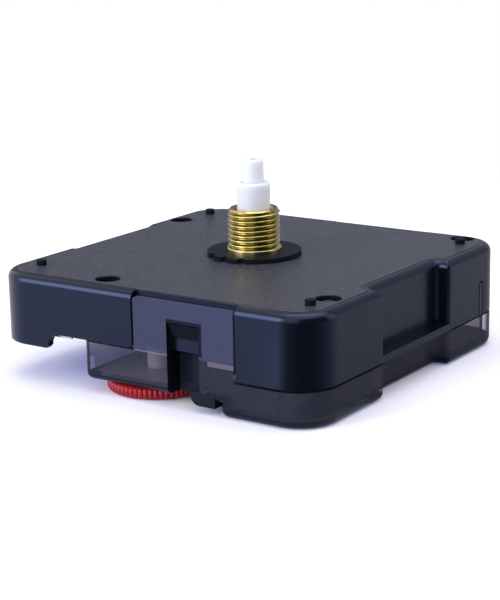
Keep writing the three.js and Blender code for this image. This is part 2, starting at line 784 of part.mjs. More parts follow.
// The lug beside the knob's pocket: a bar whose end towards the knob is rounded where it meets the floor
function pocketLug() {
  const curve = quarter(curveSteps, (angle) => [
    lugLeft + lugRadius * (1 - Math.cos(angle)),
    lugFoot + lugRadius * (1 - Math.sin(angle)),
  ]);
  const outline = [...curve, [lugRight, lugFoot], [lugRight, pocketFloorTop], [lugLeft, pocketFloorTop]];
  return prismAlongY(outline, -halfLength, deepBlockBack + coverCorner);
}

function backCover() {
  const shallow = loft([
    ...filletRings(coverCorners, pocketEdgeFillet, pocketRoof, -1).reverse(),
    { points: roundedOutline(coverCorners), height: coverRim },
  ]);
  const deep = loft([
    ...filletRings(deepCorners, coverFillet, 0, -1).reverse(),
    { points: roundedOutline(deepCorners), height: pocketFloorTop },
  ]);
  const leftWall = block([trayWallOuter, trayWallInner],
    [-halfLength + coverCorner, halfLength - coverCorner], [coverRim - overrun, coverLeftTop]);
  const endWalls = latchSides.map((side) => prism(
    roundedOutline(coverCorners).map(([x, y]) => [Math.min(x, tabLeft + tabCorner), y]),
    coverRim - overrun, coverLeftTop,
  ).intersect(block([trayWallOuter, tabLeft + tabCorner],
    [side * halfLength, side * (halfLength - coverWall)], [0, caseTop])));
  let body = join([shallow, deep, pocketLug()]);
  body = cut(body, [
    prism(roundedOutline(coverCorners, coverWall), pocketFloorTop, coverRim + overrun),
    prism(roundedOutline(deepCorners, coverWall), coverFloor, pocketFloorTop + overrun),
  ]);
  body = join([body, leftWall, ...endWalls, ...latchSides.map(latchTab), ...latchSides.map(channelWalls)]);
  body = cut(body, [channelSpace(-1, -overrun), channelSpace(1, coverFloor + coverFillet)]);

  // Posts and bearing bosses, each with its blind hole
  const bosses = [
    ...postPlaces.map(([x, y]) => rod(postRadius, coverFloor / 2, middlePlateFoot - endGap, x, y, postSides)),
    rod(secondBossRadius, coverFloor / 2, secondBossTop, 0, 0, postSides),
    rod(bossRadius, coverFloor / 2, intermediateBossTop, ...intermediateAxis, postSides),
    rod(bossRadius, coverFloor / 2, rotorBossTop, ...rotorAxis, postSides),
    rod(bossRadius, coverFloor / 2, thirdBossTop, ...thirdAxis, postSides),
    ...stakePlaces.map(([x, y]) =>
      rod(stakePostRadius, coverFloor / 2, statorFoot - endGap, x, y, postSides)),
    ...stakePlaces.map(([x, y]) => rod(stakeRadius, coverFloor / 2, coreTop + stakeHead, x, y, postSides)),
    ...boardPosts.map(([x, y]) => rod(postRadius, coverFloor / 2, boardFoot - endGap, x, y, postSides)),
    ...boardPosts.map(([x, y]) => rod(stakeRadius, coverFloor / 2, boardTop + stakeHead, x, y, postSides)),
    rod(statorRestRadius, coverFloor / 2, statorFoot - endGap, ...statorRest, postSides),
  ];
  body = join([body, ...bosses]);
  return cut(body, [
    hole(secondArborRadius + runningGap, secondArborFoot - endGap, secondBossTop + overrun, 0, 0, postSides),
    hole(pinRadius + pressGap, pinFoot - endGap, intermediateBossTop + overrun, ...intermediateAxis,
      postSides),
    hole(rotorPivotRadius + runningGap, pinFoot - endGap, rotorBossTop + overrun, ...rotorAxis, postSides),
    hole(pinRadius + pressGap, pinFoot - endGap, thirdBossTop + overrun, ...thirdAxis, postSides),
    hole(stemRadius + runningGap, pocketRoof - overrun, pocketFloorTop + overrun, ...knobAxis),
  ]);
}

add("back_cover", backCover(), smokyPlastic);

// Brass bush: a flange bedded in the plate, the threaded barrel, and a mouth opened out round the hour tube

const bushTop = caseTop + bushLength;
const bushFlangeTop = caseTop + collarThickness + bushFlangeThickness;
add("threaded_bushing", turned([
  [hourTubeRadius + runningGap, plateUnderside],
  [bushFlangeRadius, plateUnderside],
  [bushFlangeRadius, bushFlangeTop],
  [bushRadius, bushFlangeTop],
  [bushRadius, bushTop - bushChamfer],
  [bushRadius - bushChamfer, bushTop],
  [bushMouthRadius, bushTop],
  [hourTubeRadius + runningGap, bushTop - bushMouthDepth],
], bushSides), brass);

// Hour wheel, with the tube that carries the hour hand

const hourHubFoot = minutePinionHeight + minutePinionLength + endGap;
const hourBore = minuteTubeRadius + runningGap;
const hourTube = turned([
  [hourBore, hourHubFoot],
  [hourTubeRadius, hourHubFoot],
  [hourTubeRadius, hourTubeTop - hourTubeChamfer],
  [hourTubeRadius - hourTubeChamfer, hourTubeTop],
  [hourBore, hourTubeTop],
]);
add("hour_wheel", join([
  gear(hourModule, hourTeeth, hourHeight, hourHeight + hourThickness, (hourTubeRadius + hourBore) / 2),
  hourTube,
]), whitePlastic, 0, 0, hourPhase);

// Minute arbor: a flange under the centre wheel, the hub it slips on, the pinion and the minute hand's tube

const minuteBore = secondArborRadius + 2 * runningGap;
const bevelShare = 1 - Math.SQRT1_2;
const clutchFlangeRadius = 2.2;
const clutchHubRadius = 1.3;
const clutchFlangeTop = centreHeight - runningGap;
const minuteArbor = turned([
  [minuteBore, middlePlateTop + endGap],
  [clutchFlangeRadius, middlePlateTop + endGap],
  [clutchFlangeRadius, clutchFlangeTop],
  [clutchHubRadius, clutchFlangeTop],
  [clutchHubRadius, minutePinionHeight + minutePinionLength],
  [minuteTubeRadius, minutePinionHeight + minutePinionLength],
  [minuteTubeRadius, hourTubeTop],
  [minuteTubeTipRadius, minuteTubeTop - minuteTubeRound],
  [minuteTubeTipRadius - minuteTubeRound * bevelShare, minuteTubeTop - minuteTubeRound * bevelShare],
  [minuteTubeTipRadius - minuteTubeRound, minuteTubeTop],
  [minuteBore, minuteTubeTop],
], arborSides);
add("minute_arbor", join([
  minuteArbor,
  gear(motionModule, minutePinionTeeth, minutePinionHeight, minutePinionHeight + minutePinionLength,
    (clutchHubRadius + minuteBore) / 2),
]), whitePlastic, 0, 0, minutePhase);

// A moulded wheel: a toothed rim, spoke windows, a hub and a bore

const rimShare = 0.86;
const windowHubShare = 0.36;
const windowCount = 4;
const spokeShare = 0.26;

// Wheel windows: ring sectors between the hub and the rim, with a spoke between each two
function spokeWindows(inner, outer, low, high) {
  const sector = tau / windowCount;
  return Array.from({ length: windowCount }, (unused, i) => {
    const start = i * sector + sector * spokeShare / 2;
    const sweep = sector * (1 - spokeShare);
    const arc = (radius) => [0, 1, 2].map((k) => polar(radius, start + sweep * k / 2));
    return prism([...arc(outer), ...arc(inner).reverse()], low - overrun, high + overrun);
  });
}

function wheel(module, teeth, height, hubRadius, hubFoot, hubTop, bore) {
  const root = module * teeth / 2 - dedendumShare * module;
  const disc = gear(module, teeth, height, height + wheelThickness);
  const windows = spokeWindows(root * windowHubShare, root * rimShare, height, height + wheelThickness);
  const hub = rod(hubRadius, hubFoot, hubTop);
  return cut(join([cut(disc, windows), hub]), [hole(bore, hubFoot - overrun, hubTop + overrun)]);
}

// Second wheel on its steel arbor, which runs up through the minute tube

const secondPinionFoot = 5.9;
const secondPinionTop = 7.2;
const secondHubRadius = 0.95;
const secondPinion = gear(thirdModule, secondPinionTeeth, secondPinionFoot, secondPinionTop,
  secondArborRadius + pressGap);
add("second_wheel", join([
  wheel(trainModule, secondTeeth, secondHeight, secondHubRadius, secondBossTop + endGap,
    secondPinionFoot + endGap, secondArborRadius + pressGap),
  secondPinion,
]), gearPlastic, 0, 0, secondPhase);
add("second_arbor", rod(secondArborRadius, secondArborFoot, minuteTubeTop - endGap), steel);

// Rotor: a ring magnet pressed on the shaft of the moulded pinion

const rotorPinionFoot = 2.6;
const rotorPinionTop = 3.9;
const rotorCollarRadius = 1.4;
const rotorShaftRadius = 0.8;
const rotorPivotTop = 8.4;
const magnetFoot = 4.5;
const magnetTop = 6.9;
const magnetRadius = 2.9;
const rotorTop = 7.3;
add("rotor_pinion", join([
  gear(trainModule, rotorTeeth, rotorPinionFoot, rotorPinionTop + endGap),
  rod(rotorPivotRadius, pinFoot, rotorPivotTop),
  rod(rotorCollarRadius, rotorPinionTop, magnetFoot - runningGap),
  rod(rotorShaftRadius, rotorPinionTop, rotorTop),
]), gearPlastic, ...rotorAxis, rotorPhase);
add("rotor_magnet", turned([
  [rotorShaftRadius + pressGap, magnetFoot],
  [magnetRadius, magnetFoot],
  [magnetRadius, magnetTop],
  [rotorShaftRadius + pressGap, magnetTop],
]), magnetMaterial, ...rotorAxis, rotorPhase);

// Intermediate wheel and its pinion, on a fixed steel pin

const intermediatePinionFoot = 4.2;
const intermediatePinionTop = 5.3;
const trainHubRadius = 0.95;
const thirdHubRadius = 0.65;
const intermediateHubTop = 6.2;
add("intermediate_wheel", join([
  wheel(trainModule, intermediateTeeth, intermediateHeight, trainHubRadius, intermediateBossTop + endGap,
    intermediateHubTop, pinRadius + runningGap),
  gear(trainModule, intermediatePinionTeeth, intermediatePinionFoot, intermediatePinionTop,
    pinRadius + runningGap + pressGap, intermediatePinionPhase - intermediatePhase),
]), gearPlastic, ...intermediateAxis, intermediatePhase);
add("intermediate_pin", rod(pinRadius, pinFoot, middlePlateTop - endGap), steel, ...intermediateAxis);

// Third wheel below the middle plate, with its pinion above it

const thirdPinionFoot = 9.6;
const thirdPinionTop = 10.9;
const thirdHubTop = 9.7;
const thirdPinSeat = 1.0;
add("third_wheel", join([
  wheel(trainModule, thirdTeeth, thirdHeight, trainHubRadius, thirdHeight - endGap, thirdHubTop,
    pinRadius + runningGap),
  cut(rod(thirdHubRadius, thirdBossTop + endGap, thirdHeight), [
    hole(pinRadius + runningGap, thirdBossTop, thirdHeight + overrun)]),
  gear(centreModule, thirdPinionTeeth, thirdPinionFoot, thirdPinionTop, pinRadius + runningGap,
    thirdPinionPhase - thirdPhase),
]), gearPlastic, ...thirdAxis, thirdPhase);
add("third_pin", rod(pinRadius, pinFoot, thirdBossFoot + thirdPinSeat), steel, ...thirdAxis);

// Centre wheel, which slips on the minute arbor's hub when the hands are set

const centreHubRadius = 2.1;
const centreHubTop = minutePinionHeight - endGap;
add("centre_wheel", wheel(centreModule, centreTeeth, centreHeight, centreHubRadius, centreHeight,
  centreHubTop, clutchHubRadius + runningGap), gearPlastic, 0, 0, centrePhase);

// Minute wheel of the motion work, with its pinion under the hour wheel's rim, on a pin in the middle plate

const motionPinRadius = 0.6;
const motionHubRadius = 1.2;
const motionPinTop = 14.4;
const motionPinionTop = 14.1;
const motionBore = motionPinRadius + runningGap;
const motionRoot = motionModule * minuteWheelTeeth / 2 - dedendumShare * motionModule;
add("minute_wheel", join([
  cut(gear(motionModule, minuteWheelTeeth, motionHeight, motionHeight + motionThickness, motionBore),
    spokeWindows(motionRoot * windowHubShare, motionRoot * rimShare, motionHeight,
      motionHeight + motionThickness)),
  gear(hourModule, motionPinionTeeth, motionHeight + motionThickness / 2, motionPinionTop, motionBore,
    motionPinionPhase - motionPhase),
  cut(rod(motionHubRadius, middlePlateTop + endGap, motionHeight + motionThickness / 2),
    [hole(motionBore, middlePlateTop, motionHeight + motionThickness)]),
]), settingPlastic, ...motionAxis, motionPhase);
add("minute_pin", rod(motionPinRadius, middlePlateFoot + endGap, motionPinTop), steel, ...motionAxis);

// Setting gear, pressed on the knob's stem

const settingBoreRadius = 1.2;
const settingShoulder = motionHeight - endGap;
add("setting_gear", gear(motionModule, settingTeeth, motionHeight, motionHeight + motionThickness,
  settingBoreRadius + pressGap), settingPlastic, ...knobAxis, settingPhase);

// Setting knob: a serrated disc in the cover's pocket, with the stem and its top pivot

const knobHollowRadius = 5.2;
const knobHollowDepth = 0.5;
const knobTop = knobFoot + knobThickness;
const serrationShare = 0.5;
function knobOutline(radius, depth) {
  return Array.from({ length: serrations * 2 }, (unused, i) => polar(radius - (i % 2) * depth,
    tau * (i + serrationShare) / (serrations * 2)));
}
add("setting_knob", join([
  cut(prism(knobOutline(knobRadius, serrationDepth), knobFoot, knobTop), [
    rod(knobHollowRadius, knobFoot - overrun, knobFoot + knobHollowDepth, 0, 0, bushSides)]),
  rod(stemRadius, knobFoot + knobHollowDepth, settingShoulder),
  rod(settingBoreRadius, settingShoulder - endGap, motionHeight + motionThickness + endGap),
  rod(settingPivotRadius, motionHeight + motionThickness, plateUnderside - 2 * endGap),
]), redPlastic, ...knobAxis, settingPhase);

// Middle plate, clamped between the posts of the case and of the cover

const middleTrayGap = 0.9;
const middleCoilGap = 3.8;
const middleInset = 2.5;
const middleLeft = trayWallInner + middleTrayGap;
const middleRight = coilX - middleCoilGap;
const middleFront = -halfLength + middleInset;
const middleBack = 16.5;
const middleCorner = 2.0;
const middleCorners = [
  { x: middleLeft, y: middleFront, r: middleCorner, steps: smallSteps },
  { x: middleRight, y: middleFront, r: middleCorner, steps: smallSteps },
  { x: middleRight, y: middleBack, r: middleCorner, steps: smallSteps },
  { x: middleLeft, y: middleBack, r: middleCorner, steps: smallSteps },
];
const thirdHoleRadius = 1.5;
const channelClearance = halfLength - channelDepth - channelWall - snapGap;
add("middle_plate", cut(prism(roundedOutline(middleCorners), middlePlateFoot, middlePlateTop), [
  hole(secondArborRadius + runningGap, middlePlateFoot - overrun, middlePlateTop + overrun),
  hole(pinRadius + pressGap, middlePlateFoot - overrun, middlePlateTop + overrun, ...intermediateAxis),
  hole(rotorPivotRadius + runningGap, middlePlateFoot - overrun, middlePlateTop + overrun, ...rotorAxis),
  hole(thirdHoleRadius, middlePlateFoot - overrun, middlePlateTop + overrun, ...thirdAxis),
  hole(motionPinRadius + pressGap, middlePlateFoot - overrun, middlePlateTop + overrun, ...motionAxis),
  hole(stemRadius + runningGap, middlePlateFoot - overrun, middlePlateTop + overrun, ...knobAxis),
  block([windowLeft - channelWall - snapGap, windowRight + channelWall + snapGap],
    [middleFront - overrun, -channelClearance], [middlePlateFoot - overrun, middlePlateTop + overrun]),
]), platePlastic);

// Motor: the stator plate with the rotor's hole, the core through the coil, the bobbin and its winding

const statorHoleRadius = 3.35;
const statorCheek = 1.1;
const statorArm = 4.4;
const statorCorner = 0.4;
const statorReach = statorHoleRadius + statorCheek;
const coreHalf = coreWidth / 2;
const [rotorX, rotorY] = rotorAxis;
const statorRight = rotorX + statorReach;
const stator = [
  { x: rotorX - statorReach, y: rotorY - statorReach },
  { x: statorRight - statorArm, y: rotorY - statorReach },
  { x: statorRight - statorArm, y: coreFront },
  { x: coilX + coreHalf, y: coreFront },
  { x: coilX + coreHalf, y: coreFront + coreEndLength },
  { x: statorRight, y: coreFront + coreEndLength },
  { x: statorRight, y: coreBack - coreEndLength },
  { x: coilX + coreHalf, y: coreBack - coreEndLength },
  { x: coilX + coreHalf, y: coreBack },
  { x: statorRight, y: coreBack },
  { x: statorRight, y: rotorY + statorReach },
  { x: rotorX - statorReach, y: rotorY + statorReach },
].map((corner) => ({ ...corner, r: statorCorner, steps: 1 }));
add("stator", prism(roundedOutline(stator), statorFoot, statorTop, [
  circle(statorHoleRadius, ...rotorAxis, bushSides),
  ...stakePlaces.map(([x, y]) => circle(stakeRadius + runningGap, x, y)),
]), softIron);
const coreCorners = [
  { x: coilX - coreHalf, y: coreFront },
  { x: coilX + coreHalf, y: coreFront },
  { x: coilX + coreHalf, y: coreBack },
  { x: coilX - coreHalf, y: coreBack },
].map((corner) => ({ ...corner, r: statorCorner, steps: 1 }));
add("coil_core", prism(roundedOutline(coreCorners), coreFoot, coreTop,
  stakePlaces.map(([x, y]) => circle(stakeRadius + runningGap, x, y))), softIron);

const flangeRadius = 3.3;
const flangeThickness = 0.6;
const flangeGap = 0.35;
const tubeThickness = 0.45;
const windingRadius = 2.85;
const bobbinFront = coreFront + coreEndLength + flangeGap;
const bobbinBack = coreBack - coreEndLength - flangeGap - recessCorner;
const coilHeight = (coreFoot + coreTop) / 2;

// A box-shaped sleeve round the core, grown from it by a gap on every side
function coreSleeve(gap, front, back) {
  return block([coilX - coreHalf - gap, coilX + coreHalf + gap], [front, back],
    [coreFoot - gap, coreTop + gap]);
}
function coilDisc(radius, front, back) {
  return prismAlongY(circle(radius, coilX, coilHeight, tubeSides), front, back);
}
add("coil_bobbin", cut(join([
  coilDisc(flangeRadius, bobbinFront, bobbinFront + flangeThickness),
  coilDisc(flangeRadius, bobbinBack - flangeThickness, bobbinBack),
  coreSleeve(tubeThickness, bobbinFront, bobbinBack),
]), [coreSleeve(2 * pressGap, bobbinFront - overrun, bobbinBack + overrun)]), bobbinPlastic);
add("coil_winding", cut(coilDisc(windingRadius, bobbinFront + flangeThickness + pressGap,
  bobbinBack - flangeThickness - pressGap), [
  coreSleeve(tubeThickness + pressGap, bobbinFront, bobbinBack)]), copperWire);

// Circuit: the board, the sealed chip, the crystal's can and the soldered ends of the contacts

const boardTrayGap = 0.3;
const boardLegWidth = 4.3;
const boardCoreGap = 1.2;
const boardLeft = trayWallInner + boardTrayGap;
const boardRight = halfWidth - boardInset;
const boardLegLeft = boardRight - boardLegWidth;
const boardLegFront = coreBack + boardCoreGap;
const boardCorners = [
  { x: boardLeft, y: boardFront },
  { x: boardLegLeft, y: boardFront },
  { x: boardLegLeft, y: boardLegFront },
  { x: boardRight, y: boardLegFront },
  { x: boardRight, y: boardBack },
  { x: boardLeft, y: boardBack },
].map((corner) => ({ ...corner, r: statorCorner, steps: 1 }));
add("circuit_board", prism(roundedOutline(boardCorners), boardFoot, boardTop,
  boardPosts.map(([x, y]) => circle(stakeRadius + runningGap, x, y))), boardMaterial);

const chipRadius = 2.2;
const chipHeight = 0.95;
const chipX = 12.2;
const chipProfile = quarter(curveSteps, (angle) => [
  chipRadius * Math.sin(angle),
  boardFoot - runningGap - chipHeight * Math.cos(angle),
]);
add("chip_cap", turned([...chipProfile, [0, boardFoot - runningGap]], arborSides), epoxy, chipX, circuitRow);

const canRadius = 0.95;
const canLength = 6.0;
const canX = 0.6;
const canGeometry = new THREE.CylinderGeometry(canRadius, canRadius, canLength, arborSides);
canGeometry.rotateZ(Math.PI / 2);
canGeometry.translate(0, 0, boardFoot - runningGap - canRadius);
add("quartz_crystal", solid(canGeometry), canMetal, canX, circuitRow);

// Battery contacts: strips of spring metal set on edge, bent in plan, deep where they face the battery

const stripThickness = 0.3;
const stripFoot = boardTop + endGap;
const stripTop = 9.8;
const contactFoot = 4.0;
const contactTop = 11.6;
const bendRadius = 0.5;

// The plan outline of a strip that follows a route of [x, y] points with rounded bends
function stripOutline(route) {
  const corners = route.map(([x, y]) => new THREE.Vector2(x, y));
  const path = new THREE.Path();
  path.moveTo(corners[0].x, corners[0].y);
  for (let i = 1; i + 1 < corners.length; i += 1) {
    const before = corners[i].clone().sub(corners[i - 1]).setLength(bendRadius);
    const after = corners[i + 1].clone().sub(corners[i]).setLength(bendRadius);
    path.lineTo(corners[i].x - before.x, corners[i].y - before.y);
    path.quadraticCurveTo(corners[i].x, corners[i].y, corners[i].x + after.x, corners[i].y + after.y);
  }
  path.lineTo(corners.at(-1).x, corners.at(-1).y);
  const points = path.getPoints(3);
  const left = [];
  const right = [];
  points.forEach((point, i) => {
    const before = points[Math.max(i - 1, 0)];
    const after = points[Math.min(i + 1, points.length - 1)];
    const across = after.clone().sub(before).setLength(stripThickness / 2);
    left.push([point.x - across.y, point.y + across.x]);
    right.push([point.x + across.y, point.y - across.x]);
  });
  return [...right, ...left.reverse()];
}
const endWallFace = halfLength - caseWall - endGap - stripThickness / 2;
const stripRun = trayWallInner + endGap + stripThickness;
const contactFarShare = 0.62;
const contactNearShare = 0.2;
const leafTipShare = 0.55;
const contactFar = trayWallOuter - trayWidth * contactFarShare;
const contactNear = trayWallOuter - trayWidth * contactNearShare;
const leafTip = trayWallOuter - trayWidth * leafTipShare;
const leafRise = 1.9;
const stripSpacing = 0.9;
const stripOverlap = 2.3;
const negativeEnd = boardFront + stripOverlap;
const positiveRun = stripRun + stripSpacing;
const positiveEnd = boardBack - stripOverlap;

// Negative contact: a leaf sprung towards the battery, then a run beside the tray wall to the board
const negativeLeaf = [
  [leafTip, -endWallFace + leafRise],
  [contactFar, -endWallFace],
  [contactNear, -endWallFace],
];
const negativeRoute = [
  [contactNear - bendRadius, -endWallFace],
  [stripRun, -endWallFace],
  [stripRun, negativeEnd],
];
add("negative_contact", join([
  prism(stripOutline(negativeLeaf), contactFoot, contactTop),
  prism(stripOutline(negativeRoute), stripFoot, stripTop),
]), springMetal);

// Positive contact: a flat plate against the end wall, with a dimple for the battery's cap
const positiveRoute = [
  [contactNear - bendRadius, endWallFace],
  [positiveRun, endWallFace],
  [positiveRun, positiveEnd],
];
const dimpleRadius = 2.0;
const dimpleRise = 0.5;
const dimpleRoot = -stripThickness / 4;
const dimpleProfile = [
  [0, dimpleRoot],
  [dimpleRadius, dimpleRoot],
  ...quarter(filletSteps, (angle) => [dimpleRadius * Math.cos(angle), dimpleRise * Math.sin(angle)]),
];
const dimpleGeometry = new THREE.LatheGeometry(
  dimpleProfile.map(([radius, height]) => new THREE.Vector2(radius, height)), arborSides);
const plateMiddle = (contactFar + contactNear) / 2;
dimpleGeometry.rotateX(Math.PI);
dimpleGeometry.translate(plateMiddle, endWallFace - stripThickness / 2, (contactFoot + contactTop) / 2);
add("positive_contact", join([
  prism(stripOutline([[contactFar, endWallFace], [contactNear, endWallFace]]), contactFoot, contactTop),
  prism(stripOutline(positiveRoute), stripFoot, stripTop),
  solid(dimpleGeometry),
]), springMetal);

// Coil terminals: two strips from the bobbin's rear flange to the board
const terminalWidth = 0.7;
const terminalFoot = boardTop + endGap;
const terminalOffset = 1.5;
const terminalNames = ["coil_terminal_inner", "coil_terminal_outer"];
terminalNames.forEach((name, i) => {
  const x = coilX + (2 * i - 1) * terminalOffset;
  add(name, block([x - terminalWidth / 2, x + terminalWidth / 2],
    [bobbinBack + endGap, boardLegFront + 2 * terminalWidth],
    [terminalFoot, terminalFoot + stripThickness]), springMetal);
});

export default movement;
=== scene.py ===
"""Quartz clock movement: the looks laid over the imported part.

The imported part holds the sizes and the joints. Each section makes one piece finer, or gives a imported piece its
material, in the order in which the movement goes together. Lengths are in millimetres unless a name says
otherwise, and angles in the formulas are in radians.
"""

import math

import bmesh
import bpy
import numpy as np
from mathutils import Matrix, Vector


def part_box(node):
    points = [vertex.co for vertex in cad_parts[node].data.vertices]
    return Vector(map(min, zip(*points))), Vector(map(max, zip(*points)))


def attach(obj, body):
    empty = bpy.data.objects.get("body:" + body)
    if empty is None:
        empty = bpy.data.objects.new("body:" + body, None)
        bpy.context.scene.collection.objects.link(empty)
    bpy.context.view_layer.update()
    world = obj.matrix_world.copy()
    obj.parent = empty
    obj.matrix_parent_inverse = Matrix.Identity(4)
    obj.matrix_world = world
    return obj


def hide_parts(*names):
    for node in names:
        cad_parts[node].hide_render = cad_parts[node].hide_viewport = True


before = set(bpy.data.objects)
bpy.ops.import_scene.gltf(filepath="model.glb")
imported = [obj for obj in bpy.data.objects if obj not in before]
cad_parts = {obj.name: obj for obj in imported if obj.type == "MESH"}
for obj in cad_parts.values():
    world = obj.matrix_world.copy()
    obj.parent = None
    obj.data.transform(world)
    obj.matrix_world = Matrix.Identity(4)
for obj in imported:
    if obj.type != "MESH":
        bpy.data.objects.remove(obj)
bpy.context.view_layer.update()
scene = bpy.context.scene
scene.view_settings.view_transform = "Standard"


# Camera. It stands where the photograph was taken, which a fit to the case's edges gave: above the near corner,
# turned a little about its own line of sight, and aimed a little below the middle of the plate.
METRES = 0.001
CASE_TOP = 16.0
camera_azimuth = math.radians(34.274)
camera_elevation = math.radians(14.377)
camera_roll = math.radians(-1.046)
camera_distance = 259.31
camera_aim = (-0.678, -6.999)

towards_camera = np.array([
    math.sin(camera_azimuth) * math.cos(camera_elevation),
    -math.cos(camera_azimuth) * math.cos(camera_elevation),
    math.sin(camera_elevation),
])
level = np.cross(-towards_camera, (0, 0, 1))
level /= np.linalg.norm(level)
rise = np.cross(level, -towards_camera)
camera_right = level * math.cos(camera_roll) + rise * math.sin(camera_roll)
camera_up = rise * math.cos(camera_roll) - level * math.sin(camera_roll)
camera_place = (np.array((0, 0, CASE_TOP)) + towards_camera * camera_distance
                + camera_right * camera_aim[0] + camera_up * camera_aim[1]) * METRES
camera_turn = Matrix(np.column_stack((camera_right, camera_up, towards_camera)).tolist()).to_4x4()

camera = bpy.data.objects.new("camera", bpy.data.cameras.new("camera"))
camera.data.sensor_width = 36
camera.data.lens = 102.678
camera.data.clip_start = 0.01
camera.matrix_world = Matrix.Translation(camera_place.tolist()) @ camera_turn
scene.collection.objects.link(camera)
scene.camera = camera


# Floor and light. The movement lies on white card under a broad softbox. Bluish window light, with one small lamp in
# it, comes from the front left, and weaker softboxes stand above the camera and at the back. A pale blue light from
# all round fills the shadows, while the camera and the glossy surfaces see a white room.
def linear(hex_colour):
    """An sRGB hex colour as linear light. Each share c becomes c / 12.92 up to 0.04045, and above it
    ((c + 0.055) / 1.055) to the power 2.4."""
    shares = np.array([int(hex_colour[at:at + 2], 16) for at in (1, 3, 5)]) / 255
    light = np.where(shares <= 0.04045, shares / 12.92, ((shares + 0.055) / 1.055) ** 2.4)
    return (*light.tolist(), 1.0)


def add_node(tree, kind, settings=None, values=None, links=None, ramp=()):
    """Adds a shader node of a kind: settings go on the node itself and values on its sockets, links join its sockets
    to others or to a node's first output, and ramp gives the place and the colour of each end of a colour ramp."""
    added = tree.nodes.new("ShaderNode" + kind)
    for name, value in (settings or {}).items():
        setattr(added, name, value)
    for name, value in (values or {}).items():
        added.inputs[name].default_value = value
    for name, source in (links or {}).items():
        tree.links.new(added.inputs[name], source.outputs[0] if hasattr(source, "outputs") else source)
    for end, (place, colour) in enumerate(ramp):
        added.color_ramp.elements[end].position = place
        added.color_ramp.elements[end].color = linear(colour)
    return added


def new_material(name):
    """An empty material and its node tree."""
    material = bpy.data.materials.new(name)
    material.use_nodes = True
    material.node_tree.nodes.clear()
    return material, material.node_tree


def filled(name, points, faces):
    """An object whose mesh has these points, given in millimetres, and these faces."""
    mesh = bpy.data.meshes.new(name)
    mesh.from_pydata((np.asarray(points, float) * METRES).tolist(), [], faces)
    mesh.update()
    made = bpy.data.objects.new(name, mesh)
    scene.collection.objects.link(made)
    return made


floor_reach = 1500
floor_drop = 0.02
floor = filled("floor", [(x * floor_reach, y * floor_reach, -floor_drop)
                         for x, y in ((-1, -1), (1, -1), (1, 1), (-1, 1))], [(0, 1, 2, 3)])

# White card: matt. What the camera sees of it, also through the cover, has a painted blue glow added, which leaves
# its shadows pale and blue; under the part that the movement covers the glow nearly goes, which paints shade there.
# Farther off it is plain white, and from below the camera looks through it. The light it throws back on the object is
# that of a plain light grey card.
covered_middle = (0.0085, 0, 0)
covered_half = (0.0195, 0.028, 0)
card, tree = new_material("white_card")
plain_card = add_node(tree, "BsdfDiffuse", values={"Color": linear("#b4b4b8")})
mirrored_card = add_node(tree, "BsdfDiffuse", values={"Color": linear("#dcdce0")})
shaded_card = add_node(tree, "BsdfDiffuse", values={"Color": linear("#fff9e0")})
place = add_node(tree, "TexCoord").outputs["Object"]
from_middle = add_node(tree, "VectorMath", {"operation": "SUBTRACT"}, {1: covered_middle}, {0: place})
from_middle = add_node(tree, "VectorMath", {"operation": "ABSOLUTE"}, links={0: from_middle})
past_edge = add_node(tree, "VectorMath", {"operation": "SUBTRACT"}, {1: covered_half}, {0: from_middle})
sides_past = add_node(tree, "SeparateXYZ", links={0: past_edge})
farther = add_node(tree, "Math", {"operation": "MAXIMUM"}, links={0: sides_past, 1: sides_past.outputs[1]})
# The painted glow's share: 0.04 under the movement's footprint, a painted shade, and full a little way outside it.
painted_glow_share = add_node(tree, "MapRange", {"interpolation_type": "SMOOTHSTEP"},
                     {"From Min": -0.0045, "From Max": 0.0015, "To Min": 0.04, "To Max": 1.0}, {"Value": farther})
painted_glow = add_node(tree, "Emission", values={"Color": linear("#273a8e")}, links={"Strength": painted_glow_share})
near_card = add_node(tree, "AddShader", links={0: shaded_card, 1: painted_glow})
plain_white = add_node(tree, "Emission", values={"Color": linear("#ffffff")})
away = add_node(tree, "VectorMath", {"operation": "LENGTH"}, links={0: from_middle})
far_off = add_node(tree, "MapRange", values={"From Min": 0.09, "From Max": 0.16},
                   links={"Value": away.outputs["Value"]})
upper_card = add_node(tree, "MixShader", links={0: far_off, 1: near_card, 2: plain_white})
clear_card = add_node(tree, "BsdfTransparent")
card_side = add_node(tree, "NewGeometry")
lit_card = add_node(tree, "MixShader", links={0: card_side.outputs["Backfacing"], 1: upper_card, 2: clear_card})
ray = add_node(tree, "LightPath")
mirrored = add_node(tree, "Math", {"operation": "MAXIMUM"},
                    links={0: ray.outputs["Is Glossy Ray"], 1: ray.outputs["Is Transmission Ray"]})
unseen = add_node(tree, "MixShader", links={0: mirrored, 1: plain_card, 2: mirrored_card})
whole = add_node(tree, "MixShader", links={0: ray.outputs["Is Camera Ray"], 1: unseen, 2: lit_card})
add_node(tree, "OutputMaterial", links={"Surface": whole})
floor.data.materials.append(card)

world = bpy.data.worlds.new("studio")
scene.world = world
world.use_nodes = True
tree = world.node_tree
tree.nodes.clear()
ray = add_node(tree, "LightPath")
seen = add_node(tree, "Math", {"operation": "MAXIMUM"},
                links={0: ray.outputs["Is Camera Ray"], 1: ray.outputs["Is Glossy Ray"]})
seen = add_node(tree, "Math", {"operation": "MAXIMUM"}, links={0: seen, 1: ray.outputs["Is Transmission Ray"]})
fill_light = add_node(tree, "Background", values={"Color": linear("#dde1f8"), "Strength": 0.9})
white_room = add_node(tree, "Background", values={"Color": linear("#ffffff"), "Strength": 1.0})
mixed = add_node(tree, "MixShader", links={0: seen, 1: fill_light, 2: white_room})
add_node(tree, "OutputWorld", links={"Surface": mixed})


